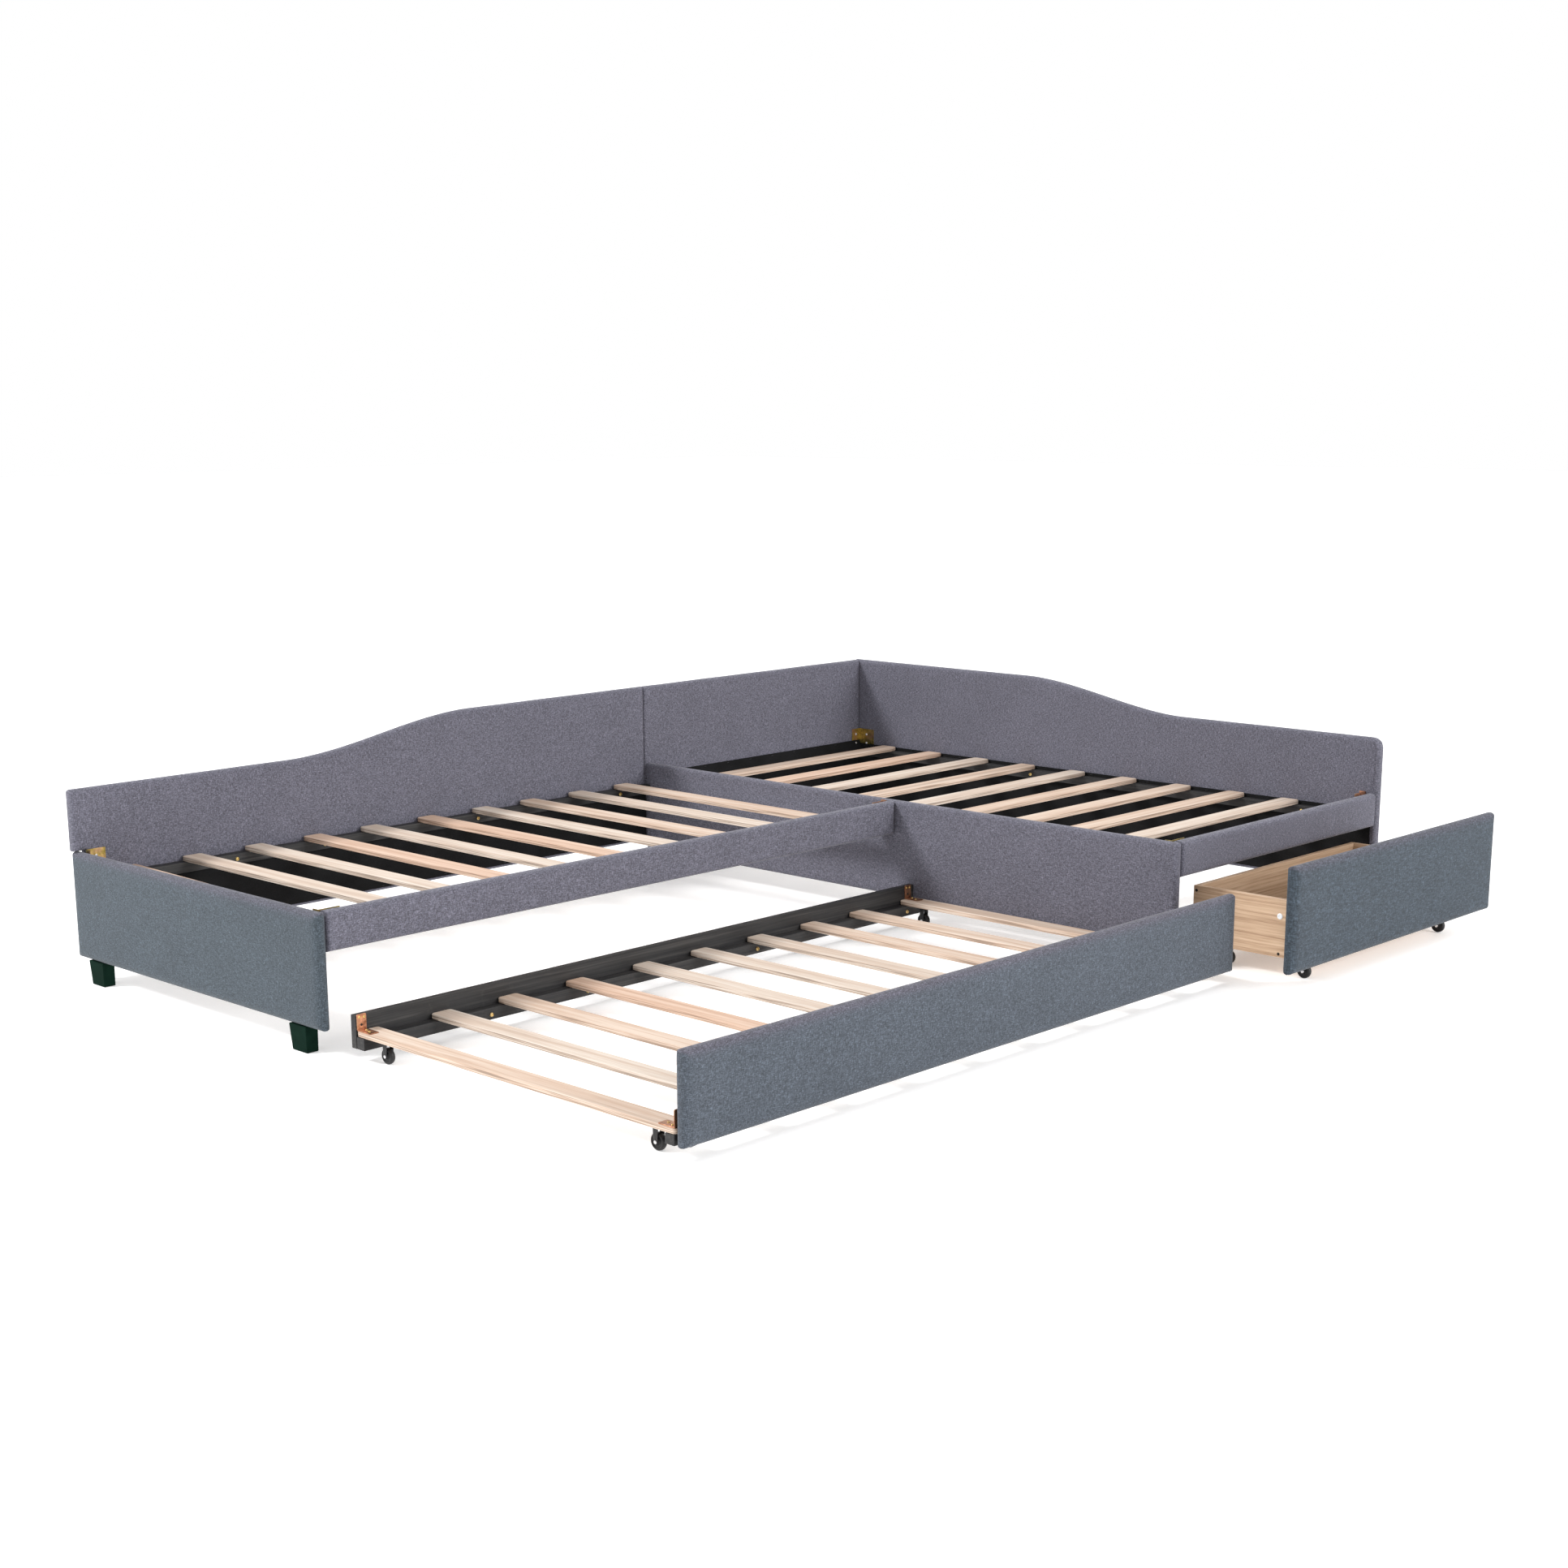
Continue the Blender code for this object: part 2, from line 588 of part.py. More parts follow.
def trundle_brackets(middles, near, far, slat_high, parent):
    """Angle brackets that tie the end slats to the back rail and the front panel."""
    width = TRUNDLE_BRACKET_W
    mesh = angle_bracket_mesh("trundle_bracket", TRUNDLE_BRACKET_RUN, TRUNDLE_BRACKET_RISE, width)
    for side, x in middles.items():
        for end, y, turn, along in (("front", near, 90, -width / 2), ("rear", far - TOUCH, -90, width / 2)):
            name = f"trundle_bracket_{side}_{end}"
            at = (x + along, y, slat_high + TOUCH)
            bracket = place(name, mesh.copy(), "copper_zinc", at, parent)
            bracket.rotation_euler = (math.pi / 2, 0, math.radians(turn))


# ---------------------------------------------------------------- drawer
def drawer():
    """The foot drawer, in its place DRAWER_OUT in front of its closed place."""
    inner = Y_FOOT_OUT - DRAWER_FRONT_GAP - DRAWER_OUT
    left = X_DIVIDER + DRAWER_SIDE_GAP
    right = X_RIGHT - DRAWER_SIDE_GAP
    parent = empty_at("drawer", ((left + right) / 2, inner, 0))
    low = (left, inner - DRAWER_FRONT_T, DRAWER_FRONT_BOTTOM)
    padded_box("drawer_front_panel", low, (right, inner, DRAWER_FRONT_TOP), parent)

    near = inner + TOUCH
    rear = inner + DRAWER_DEPTH
    bottom = DRAWER_WALL_BOTTOM
    top = DRAWER_WALL_TOP
    wall = DRAWER_WALL_T
    box_left = left + DRAWER_OVERLAP
    box_right = right - DRAWER_OVERLAP
    inner_left = box_left + wall + TOUCH
    inner_right = box_right - wall - TOUCH
    inner_rear = rear - wall
    floor_high = (inner_right, inner_rear - TOUCH, bottom + DRAWER_BOTTOM_T)
    boards = {
        "drawer_wall_left": ((box_left, near, bottom), (box_left + wall, rear, top)),
        "drawer_wall_right": ((box_right - wall, near, bottom), (box_right, rear, top)),
        "drawer_wall_rear": ((inner_left, inner_rear, bottom), (inner_right, rear, top)),
        "drawer_bottom": ((inner_left, near, bottom), floor_high),
    }
    for name, (low, high) in boards.items():
        box(name, low, high, "drawer_wood", parent)
    xs = (box_left + DRAWER_CASTER_X, box_right - DRAWER_CASTER_X)
    ys = (inner + DRAWER_CASTER_FRONT, rear - DRAWER_CASTER_REAR)
    casters("drawer", xs, ys, bottom, parent)


def build():
    clear_scene()
    back_panels()
    side_panel()
    low_panels()
    deck_a()
    deck_b()
    feet()
    bed_brackets()
    trundle()
    drawer()
    bpy.context.view_layer.update()


build()
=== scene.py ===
"""Looks of the upholstered L-shaped twin beds, their trundle and foot drawer, around the CAD frame.

Metres, +Z up, in the frame's own coordinates. Pieces are built where they stand at rest,
and each rides on the CAD body that it belongs to.
"""
import json
import math

import bmesh
import bpy
from mathutils import Matrix, Vector, noise


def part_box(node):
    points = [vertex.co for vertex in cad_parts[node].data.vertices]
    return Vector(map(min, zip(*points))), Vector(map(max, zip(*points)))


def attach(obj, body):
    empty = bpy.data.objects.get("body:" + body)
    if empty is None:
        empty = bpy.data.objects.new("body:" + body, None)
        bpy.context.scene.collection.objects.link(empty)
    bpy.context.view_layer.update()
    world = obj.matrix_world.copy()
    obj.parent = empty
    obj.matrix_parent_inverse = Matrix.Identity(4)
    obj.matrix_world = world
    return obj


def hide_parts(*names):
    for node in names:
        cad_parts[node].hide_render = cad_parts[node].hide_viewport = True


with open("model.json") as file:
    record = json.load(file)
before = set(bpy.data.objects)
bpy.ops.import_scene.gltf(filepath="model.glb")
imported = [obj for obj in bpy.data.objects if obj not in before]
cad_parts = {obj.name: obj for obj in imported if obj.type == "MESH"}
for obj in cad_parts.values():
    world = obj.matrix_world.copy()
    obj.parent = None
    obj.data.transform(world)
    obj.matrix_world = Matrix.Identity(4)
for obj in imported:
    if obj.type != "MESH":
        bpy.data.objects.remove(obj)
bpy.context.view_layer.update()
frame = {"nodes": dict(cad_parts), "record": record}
bodies = frame["record"]["behaviour"]["bodies"]
BODY_OF = {node: body for body, nodes in bodies.items() for node in nodes}

# ---------------------------------------------------------------- camera
CAMERA_AT = (-4.3686, -4.0298, 1.4428)
CAMERA_YAW = 0.8020        # from +Y towards +X, in radians
CAMERA_PITCH = 0.2259      # downwards
CAMERA_ROLL = -0.0052
CAMERA_LENS = 52.12
CAMERA_SHIFT = (0.0146, 0.0891)

# ---------------------------------------------------------------- sizes: upholstered panels
BACK_LOW_TOP = 0.497
BACK_RISE_START = 0.664    # from the back panel's free end
BACK_RISE_LENGTH = 0.640
SIDE_DROP_START = 0.700    # from the back panel's face
SIDE_DROP_LENGTH = 0.620

EDGE_SHARES = (0, 0.003, 0.015, 0.05, 0.11, 0.20, 0.33, 0.50, 0.72, 1.0)
EDGE_POWER = 2.4           # 2 is a round edge; higher is squarer
EDGE_RADIUS = 0.013
END_RADIUS = 0.010
SEAM_RADIUS = 0.008        # where two panels meet in one line
SOFT_RADIUS = 0.024        # plumper edges of the footboard and the two pull-out fronts
UPPER_CORNERS = (0.008, 0.008)     # a panel's outline at its start and its end
BACK_CORNERS = (0.010, 0)
SIDE_CORNERS = (0.030, 0.006)
LOWER_CORNER = 0.4         # a panel's lower corners are this much of its upper ones
PANEL_STEP = 0.016         # mesh spacing across the flat of a panel

PADDING = 0.0008           # how far a padded face stands proud of its board
PADDING_REACH = 0.05       # in from an edge, where the padding reaches its full swell
PADDING_WAVE = 0.0007
WAVES = ((7, 9, 3, 1.0), (21, 25, 5, 0.5))     # per metre along and up, shift by side, share
TOP_WAVER = 0.0005
TOP_WAVER_REACH = 0.02
FOOTBOARD_CROWN = 0.003    # swell of its faces at mid-length

SEAM_DEPTH = 0.0016
SEAM_WIDTH = 0.0014
SEAM_COLUMNS = (-3, -1.6, -0.8, 0, 0.8, 1.6, 3)
SIDE_SEAM = 0.011          # from the side panel's foot end
PUCKER = 0.0028            # gathers at the lower corners of the two pull-out fronts
PUCKER_LENGTH = 0.07
PUCKER_HEIGHT = 0.035
PUCKER_HEM = 0.012
NOTCH_GAP = 0.0003         # between the long back panel and the footboard that it rests on
RAIL_OUTER_GAP = 0.0014
RAIL_GAP = 0.0028          # open crease where a rail's end meets the divider panel

# ---------------------------------------------------------------- sizes: slats and dust covers
SLAT_CORNER = 0.007
SLAT_EDGE = 0.0016
LEDGER_EDGE = 0.0012
LEDGER_DEPTH = 0.027       # from a deck's outer face to its ledger's inner face
FIRST_SLAT_SKEW = -0.028   # bed A's first slat lies a little askew
BED_A_TONES = (1, 0, 0, 1, 0, 1, 0, 2, 0, 2)     # 0 cream, 1 peach, 2 rose
BED_B_TONES = (2, 0, 2, 2, 2, 0, 2, 0, 1, 2)
TRUNDLE_TONES = (2, 0, 2, 1, 0, 0, 0, 2, 2, 2)

COVER_HEM = 0.010          # panel fabric left bare under a dust cover
COVER_GAP = 0.002
COVER_OFF = 0.0028         # the cloth's middle, off the panel's face
COVER_PAST_RAIL = 0.020    # how far the side cover runs on behind the foot rail
COVER_TOP_A = 0.270
COVER_TOP_B = 0.302
COVER_TOP_SIDE = 0.2905
COVER_CELL = (0.014, 0.012)
COVER_SLACK = 0.0011
COVER_CREASE = 0.0005
STAPLE_PITCH = 0.110
STAPLE_INSET = 0.006       # from the cloth's edge
STAPLE_FIRST = 0.020       # from the cloth's end
STAPLE_HALF = (0.005, 0.0006)      # half its length and its width
STAPLE_WIRE = (0.0004, 0.0020)     # from and to, off the cloth

# ---------------------------------------------------------------- sizes: metal and plastic
BOLT_RADIUS = 0.0055
BOLT_HEIGHT = 0.004
SCREW_RADIUS = 0.0042
SCREW_HEIGHT = 0.0026
HEAD_ANGLE = 50            # degrees: edges flatter than this are shaded smooth
TURNED_ANGLE = 40
SHEET_FACE = 0.0019        # a bracket's sheet, less what its screw heads sink in
HOLE_SHARES = (0.28, 0.72)
COPPER_BRACKETS = ("bracket_side_foot", "bracket_divider_rail")
DECK_BOLT_RISE = 0.0135    # bolts above a ledger's underside
TRUNDLE_BOLT_RISE = 0.0125

STRIP_THICK = 0.002        # the trundle's brackets
STRIP_CORNER = 0.003
STRIP_EDGE = 0.0002
STRIP_SCREW_RADIUS = 0.0036
STRIP_SCREW_SPREAD = 0.0065
STRIP_SCREW_DROP = 0.0075  # below the strip's top
STRIP_HOLE_RISE = 0.013

CAP_IN = 0.080             # cam cap and lower screw hole, from the drawer's front
CAP_HEIGHT = 0.163
CAP_SUNK = 0.0004

WHEEL_BORE = 0.0034
FORK_CLEARANCE = 0.0012    # between wheel and fork leg
FORK_SHEET = 0.002
FORK_TIP = 0.0060
FORK_PLATE = 0.0025
FORK_SCREWS = 0.0150       # from the plate's middle
AXLE_RADIUS = 0.0029
RIVET_RADIUS = 0.0040
RIVET_HEIGHT = 0.0013


# ---------------------------------------------------------------- materials
WEAVE = 3500               # radians per metre of the cloth's over-and-under bumps


class Finish:
    """A node material: its Principled shader, and short calls for the nodes used here."""

    def __init__(self, name, roughness, metallic=0.0, sockets=()):
        self.material = bpy.data.materials.new(name)
        self.material.use_nodes = True
        self.tree = self.material.node_tree
        self.shader = self.tree.nodes["Principled BSDF"]
        self.shader.inputs["Roughness"].default_value = roughness
        self.shader.inputs["Metallic"].default_value = metallic
        for socket, value in sockets:
            self.shader.inputs[socket].default_value = value
        self.place = self.node("ShaderNodeTexCoord").outputs["Object"]

    def node(self, kind, **settings):
        made = self.tree.nodes.new(kind)
        for setting, value in settings.items():
            setattr(made, setting, value)
        return made

    def link(self, output, socket):
        self.tree.links.new(output, socket)

    def stretched(self, scale, shift=(0, 0, 0)):
        """The object's own coordinates, scaled differently along each axis."""
        mapping = self.node("ShaderNodeMapping")
        mapping.inputs["Scale"].default_value = scale
        mapping.inputs["Location"].default_value = shift
        self.link(self.place, mapping.inputs["Vector"])
        return mapping.outputs["Vector"]

    def noise(self, scale, detail=2.0, roughness=0.5, distortion=0.0, shift=(0, 0, 0)):
        texture = self.node("ShaderNodeTexNoise")
        texture.inputs["Scale"].default_value = 1.0
        texture.inputs["Detail"].default_value = detail
        texture.inputs["Roughness"].default_value = roughness
        texture.inputs["Distortion"].default_value = distortion
        self.link(self.stretched(scale, shift), texture.inputs["Vector"])
        return texture.outputs["Fac"]

    def math(self, operation, first, second):
        made = self.node("ShaderNodeMath", operation=operation)
        for socket, value in zip(made.inputs, (first, second)):
            if isinstance(value, (int, float)):
                socket.default_value = value
            else:
                self.link(value, socket)
        return made.outputs["Value"]

    def ramp(self, factor, stops):
        """Colours by a factor: stops are (position, colour)."""
        made = self.node("ShaderNodeValToRGB")
        points = made.color_ramp.elements
        while len(points) < len(stops):
            points.new(1.0)
        for point, (position, colour) in zip(points, stops):
            point.position = position
            point.color = (*colour, 1.0)
        self.link(factor, made.inputs["Fac"])
        return made.outputs["Color"]

    def mix(self, factor, first, second, blend="MIX"):
        made = self.node("ShaderNodeMix", data_type="RGBA", blend_type=blend)
        factor_socket, first_socket, second_socket = (made.inputs[index] for index in (0, 6, 7))
        for socket, value in ((factor_socket, factor), (first_socket, first), (second_socket, second)):
            if isinstance(value, (int, float)):
                socket.default_value = value
            elif isinstance(value, tuple):
                socket.default_value = (*value, 1.0)
            else:
                self.link(value, socket)
        return made.outputs[2]

    def upward(self):
        """How far a face looks up: -1 to 1."""
        geometry = self.node("ShaderNodeNewGeometry")
        split = self.node("ShaderNodeSeparateXYZ")
        self.link(geometry.outputs["Normal"], split.inputs["Vector"])
        return split.outputs["Z"]

    def facing_up(self):
        """1 on faces that look up or down, 0 on upright ones."""
        return self.math("GREATER_THAN", self.math("ABSOLUTE", self.upward(), 0), 0.6)

    def colour(self, output):
        self.link(output, self.shader.inputs["Base Color"])

    def rough(self, factor, low, high):
        spread = self.node("ShaderNodeMapRange")
        spread.inputs["To Min"].default_value = low
        spread.inputs["To Max"].default_value = high
        self.link(factor, spread.inputs["Value"])
        self.link(spread.outputs["Result"], self.shader.inputs["Roughness"])

    def bump(self, height, strength, distance):
        made = self.node("ShaderNodeBump")
        made.inputs["Strength"].default_value = strength
        made.inputs["Distance"].default_value = distance
        self.link(height, made.inputs["Height"])
        self.link(made.outputs["Normal"], self.shader.inputs["Normal"])


def scaled(values, factor):
    return tuple(value * factor for value in values)


def fabric_finish(name, base, painted_top_highlight=None, coarse=1.0):
    """Heathered linen-look weave: uneven yarns both ways, light and dark fibres, and soft clouds.

    painted_top_highlight is a lighter, purpler colour painted on faces that look up, a painted highlight
    where the cloth rolls over a panel's top edge; coarse is the size of its yarns against the other panels'.
    """
    made = Finish(name, 0.92, sockets=(("Sheen Weight", 0.10), ("Sheen Roughness", 0.45)))
    weft = made.noise(scaled((130, 130, 560), 1 / coarse), 2, 0.6)
    warp = made.noise(scaled((560, 560, 130), 1 / coarse), 2, 0.6)
    fleck = made.noise(scaled((330, 330, 400), 1 / coarse), 3, 0.65)
    yarns = made.math("ADD", made.math("MULTIPLY", weft, 0.36), made.math("MULTIPLY", warp, 0.32))
    yarns = made.math("ADD", yarns, made.math("MULTIPLY", fleck, 0.32))
    stops = [(0.38, scaled(base, 0.42)), (0.47, scaled(base, 0.82)), (0.53, scaled(base, 1.10)),
             (0.62, scaled(base, 2.00))]
    cloth = made.ramp(yarns, stops)
    pale = made.ramp(made.noise((155, 155, 500), 1, 0.5, shift=(3, 7, 1)),
                     [(0.62, (0, 0, 0)), (0.72, (0.40, 0.40, 0.40))])
    cloth = made.mix(pale, cloth, scaled(base, 2.3))
    cloud = made.ramp(made.noise((7, 7, 7), 3), [(0.3, (0.90, 0.90, 0.90)), (0.7, (1.0, 1.0, 1.0))])
    cloth = made.mix(1.0, cloth, cloud, "MULTIPLY")
    # painted highlight: faces that look up are tinted towards the lighter top colour
    if painted_top_highlight:
        shift = tuple(high / low for high, low in zip(painted_top_highlight, base))
        tint = made.ramp(made.upward(), [(0.0, (1.0, 1.0, 1.0)), (0.55, shift)])
        cloth = made.mix(1.0, cloth, tint, "MULTIPLY")
    made.colour(cloth)

    split = made.node("ShaderNodeSeparateXYZ")
    made.link(made.place, split.inputs["Vector"])
    along = made.math("ADD", split.outputs["X"], split.outputs["Y"])
    over = made.math("SINE", made.math("MULTIPLY", along, WEAVE), 0)
    under = made.math("SINE", made.math("MULTIPLY", split.outputs["Z"], WEAVE), 0)
    weave = made.math("MULTIPLY", over, under)
    height = made.math("ADD", made.math("MULTIPLY", weave, 0.12), yarns)
    made.bump(height, 0.45, 0.0009)
    return made.material


def slat_finish(name, pale, warm, along):
    """Pale plywood: long grain on its faces, thin plies on its edges."""
    made = Finish(name, 0.55, sockets=(("Specular IOR Level", 0.3),))
    slow, fast = 1.6, 75       # the grain's scale along a slat and across it
    face = (slow, fast, fast) if along == "x" else (fast, slow, fast)
    grain = made.noise(face, 4, 0.62, 0.6)
    fine = made.noise(scaled(face, 5), 2, 0.7)
    both = made.math("ADD", made.math("MULTIPLY", grain, 0.7), made.math("MULTIPLY", fine, 0.3))
    faces = made.ramp(both, [(0.32, scaled(warm, 0.84)), (0.45, warm), (0.58, pale),
                             (0.72, scaled(pale, 1.04))])
    knots = made.ramp(made.noise(scaled(face, 0.12), 2, 0.5, 1.2, shift=(5, 2, 9)),
                      [(0.66, (0, 0, 0)), (0.74, (0.5, 0.5, 0.5))])
    faces = made.mix(knots, faces, scaled(warm, 0.62))
    plies = made.noise((6, 6, 520), 1, 0.4)
    edges = made.ramp(plies, [(0.40, scaled(warm, 0.55)), (0.52, scaled(warm, 0.95)), (0.64, pale)])
    made.colour(made.mix(made.facing_up(), edges, faces))
    made.rough(grain, 0.46, 0.68)
    made.bump(both, 0.25, 0.0006)
    return made.material


def oak_finish(name, stretch):
    """Printed oak laminate: straight dark grain lines over a warm tan."""
    made = Finish(name, 0.42, sockets=(("Specular IOR Level", 0.4),))
    lines = made.noise(stretch, 5, 0.68, 0.35)
    pores = made.noise(scaled(stretch, 5.5), 2, 0.7)
    tone = made.ramp(made.noise(scaled(stretch, 0.16), 2, 0.5, 0.8),
                     [(0.3, (0.84, 0.82, 0.80)), (0.7, (1, 1, 1))])
    both = made.math("ADD", made.math("MULTIPLY", lines, 0.72), made.math("MULTIPLY", pores, 0.28))
    grain = made.ramp(both, [(0.34, (0.300, 0.180, 0.105)), (0.45, (0.490, 0.330, 0.215)),
                             (0.56, (0.620, 0.440, 0.300)), (0.68, (0.700, 0.520, 0.370))])
    made.colour(made.mix(1.0, grain, tone, "MULTIPLY"))
    made.rough(lines, 0.36, 0.52)
    made.bump(both, 0.12, 0.0004)
    return made.material


def stained_finish(name, stretch):
    """Black-stained timber whose grain still shows."""
    made = Finish(name, 0.5, sockets=(("Specular IOR Level", 0.35),))
    grain = made.noise(stretch, 4, 0.65, 0.5)
    wear = made.noise((22, 22, 22), 4, 0.7)
    dark = made.ramp(grain, [(0.35, (0.008, 0.008, 0.009)), (0.55, (0.022, 0.021, 0.021)),
                             (0.7, (0.045, 0.042, 0.040))])
    scuffed = made.ramp(wear, [(0.62, (0, 0, 0)), (0.78, (0.25, 0.25, 0.25))])
    made.colour(made.mix(scuffed, dark, (0.090, 0.080, 0.072)))
    made.rough(grain, 0.42, 0.62)
    made.bump(grain, 0.3, 0.0005)
    return made.material


def cover_finish(name):
    """Thin black non-woven cloth: pressed fibres and soft folds; its black is deepened as painted shade of
    the space under the decks, and the folds' shade is painted into its colour.
    """
    made = Finish(name, 0.85, sockets=(("Specular IOR Level", 0.12),))
    fibres = made.noise((420, 420, 420), 3, 0.7)
    fold_shade = made.noise((6, 6, 11), 3, 0.6, 1.0)
    # painted shade: the near-black tones stand for the shade under the decks, and the fold tones paint the
    # shade of soft folds
    fibre_tone = made.ramp(fibres, [(0.35, (0.003, 0.003, 0.003)), (0.7, (0.014, 0.014, 0.015))])
    painted_fold_shade = made.ramp(fold_shade, [(0.35, (0.003, 0.003, 0.003)), (0.7, (0.011, 0.011, 0.012))])
    made.colour(made.mix(0.5, fibre_tone, painted_fold_shade))
    made.bump(fibres, 0.35, 0.0006)
    return made.material


def plastic_finish(name, dark, light, roughness, gloss=0.3):
    """Moulded plastic with a fine spark-eroded texture and slight mottling."""
    made = Finish(name, roughness, sockets=(("Specular IOR Level", gloss),))
    mottle = made.noise((34, 34, 34), 3)
    made.colour(made.ramp(mottle, [(0.3, dark), (0.7, light)]))
    texture = made.noise((900, 900, 900), 2)
    made.rough(mottle, roughness - 0.07, roughness + 0.09)
    made.bump(texture, 0.18, 0.0003)
    return made.material


def plated_finish(name, dark, bright, tint, roughness):
    """Zinc-plated steel with uneven passivation and fine drawing lines."""
    made = Finish(name, roughness, metallic=0.9)
    mottle = made.noise((70, 70, 70), 4, 0.6, 0.7)
    hue = made.noise((28, 28, 28), 2, 0.5, shift=(2, 4, 6))
    plated = made.ramp(mottle, [(0.3, dark), (0.7, bright)])
    made.colour(made.mix(made.ramp(hue, [(0.48, (0, 0, 0)), (0.66, (0.7, 0.7, 0.7))]), plated, tint))
    made.rough(mottle, roughness - 0.1, roughness + 0.15)
    made.bump(made.noise((160, 160, 1400), 2), 0.12, 0.0002)
    return made.material


def floor_finish():
    """Near-white floor that glows a little, so that shadows on it stay faint."""
    glow = (("Emission Color", (1.0, 1.0, 1.0, 1.0)), ("Emission Strength", 0.25))
    made = Finish("studio_floor", 0.6, sockets=(("Specular IOR Level", 0.1), *glow))
    patches = made.noise((1.5, 1.5, 1.5), 2)
    made.colour(made.ramp(patches, [(0.3, (0.94, 0.94, 0.94)), (0.7, (0.96, 0.96, 0.96))]))
    return made.material


FABRIC = fabric_finish("fabric_heather_grey", (0.103, 0.101, 0.130))
# The footboard and the two pull-out fronts wear the same grey cloth: these darker, teal copies are painted
# shade with a teal cast of the light, and their second colour is a painted highlight on the tops
FABRIC_SHADED_FOOTBOARD = fabric_finish("fabric_grey_shaded_teal", (0.044, 0.058, 0.072), (0.072, 0.073, 0.095))
FABRIC_SHADED_TRUNDLE = fabric_finish("fabric_grey_shaded_blue", (0.053, 0.064, 0.081), (0.080, 0.078, 0.101))
FABRIC_SHADED_DRAWER = fabric_finish("fabric_grey_shaded_slate", (0.032, 0.044, 0.058), (0.058, 0.060, 0.080), 1.7)
SLAT_TONES = (             # pale and warm wood, in the order that the decks' tones count them
    ("cream", (0.600, 0.525, 0.455), (0.515, 0.405, 0.325)),
    ("peach", (0.600, 0.445, 0.348), (0.515, 0.345, 0.250)),
    ("rose", (0.600, 0.490, 0.405), (0.510, 0.370, 0.280)),
)
SLATS = {along: [slat_finish(f"poplar_{tone}_{along}", pale, warm, along) for tone, pale, warm in SLAT_TONES]
         for along in "xy"}
OAK_UPRIGHT = oak_finish("oak_upright", (2.2, 2.2, 130))
OAK_FLAT = oak_finish("oak_flat", (2.2, 130, 130))
STAINED_X = stained_finish("black_stain_x", (3, 150, 150))
STAINED_Y = stained_finish("black_stain_y", (150, 3, 150))
# black cloth whose black is deepened as painted shade of the space under the decks
COVER = cover_finish("black_dust_cover_and_shade")
FOOT = plastic_finish("foot_plastic", (0.003, 0.012, 0.008), (0.005, 0.018, 0.012), 0.6, gloss=0.02)
CASTER = plastic_finish("caster_black", (0.008, 0.008, 0.009), (0.020, 0.020, 0.021), 0.36)
TREAD = plastic_finish("wheel_black", (0.006, 0.006, 0.007), (0.015, 0.015, 0.016), 0.42)
CAP = plastic_finish("white_cap", (0.74, 0.75, 0.77), (0.82, 0.83, 0.84), 0.35)
# a screw hole's dark disc is painted shade of its recess
HOLE_SHADE = plastic_finish("screw_hole", (0.012, 0.009, 0.007), (0.035, 0.025, 0.018), 0.7)
ZINC = plated_finish("yellow_zinc", (0.16, 0.13, 0.03), (0.62, 0.46, 0.14), (0.46, 0.26, 0.20), 0.34)
COPPER = plated_finish("copper_zinc", (0.20, 0.08, 0.04), (0.66, 0.32, 0.19), (0.45, 0.28, 0.17), 0.34)
BRASS = plated_finish("brass_bolt", (0.34, 0.23, 0.07), (0.78, 0.58, 0.24), (0.60, 0.42, 0.22), 0.30)
STAPLE = plated_finish("staple_wire", (0.02, 0.02, 0.022), (0.06, 0.06, 0.064), (0.04, 0.04, 0.04), 0.45)
STEEL = plated_finish("bright_steel", (0.45, 0.45, 0.47), (0.80, 0.80, 0.82), (0.60, 0.58, 0.55), 0.28)


# ---------------------------------------------------------------- mesh helpers
def piece(name, solid, material, body):
    """A bmesh as a named object that rides on a CAD body."""
    bmesh.ops.recalc_face_normals(solid, faces=solid.faces)
    mesh = bpy.data.meshes.new(name)
    solid.to_mesh(mesh)
    solid.free()
    made = bpy.data.objects.new(name, mesh)
    bpy.context.scene.collection.objects.link(made)
    made.data.materials.append(material)
    for face in mesh.polygons:
        face.use_smooth = True
    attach(made, body)
    return made


def add_lathe(solid, profile, at, axis, steps=40):
    """A turned shape: profile is (along, radius), closed at both ends, on an axis from a place."""
    turn = Vector((0, 0, 1)).rotation_difference(Vector(axis)).to_matrix()
    rings = []
    for along, radius in profile:
        if radius < 1e-6:
            rings.append([solid.verts.new(turn @ Vector((0, 0, along)) + Vector(at))])
            continue
        ring = []
        for step in range(steps):
            angle = 2 * math.pi * step / steps
            spoke = Vector((radius * math.cos(angle), radius * math.sin(angle), along))
            ring.append(solid.verts.new(turn @ spoke + Vector(at)))
        rings.append(ring)
    for first, second in zip(rings, rings[1:]):
        for step in range(steps):
            after = (step + 1) % steps
            corners = [first[step % len(first)], first[after % len(first)],
                       second[after % len(second)], second[step % len(second)]]
            corners = list(dict.fromkeys(corners))
            if len(corners) > 2:
                solid.faces.new(corners)


def add_prism(solid, outline, low, high, edge, frame_of):
    """A plate from an outline with a small chamfer; frame_of turns (u, v, w) into a place."""
    middle = Vector((sum(u for u, v in outline), sum(v for u, v in outline))) / len(outline)
    rings = []
    for inset, w in ((edge, low), (0, low + edge), (0, high - edge), (edge, high)):
        ring = []
        for u, v in outline:
            away = Vector((u, v)) - middle
            kept = Vector((u, v)) - Vector((math.copysign(inset, away.x), math.copysign(inset, away.y)))
            ring.append(solid.verts.new(frame_of(kept.x, kept.y, w)))
        rings.append(ring)
    count = len(outline)
    for first, second in zip(rings, rings[1:]):
        for index in range(count):
            after = (index + 1) % count
            solid.faces.new((first[index], first[after], second[after], second[index]))
    solid.faces.new(list(reversed(rings[0])))
    solid.faces.new(rings[-1])


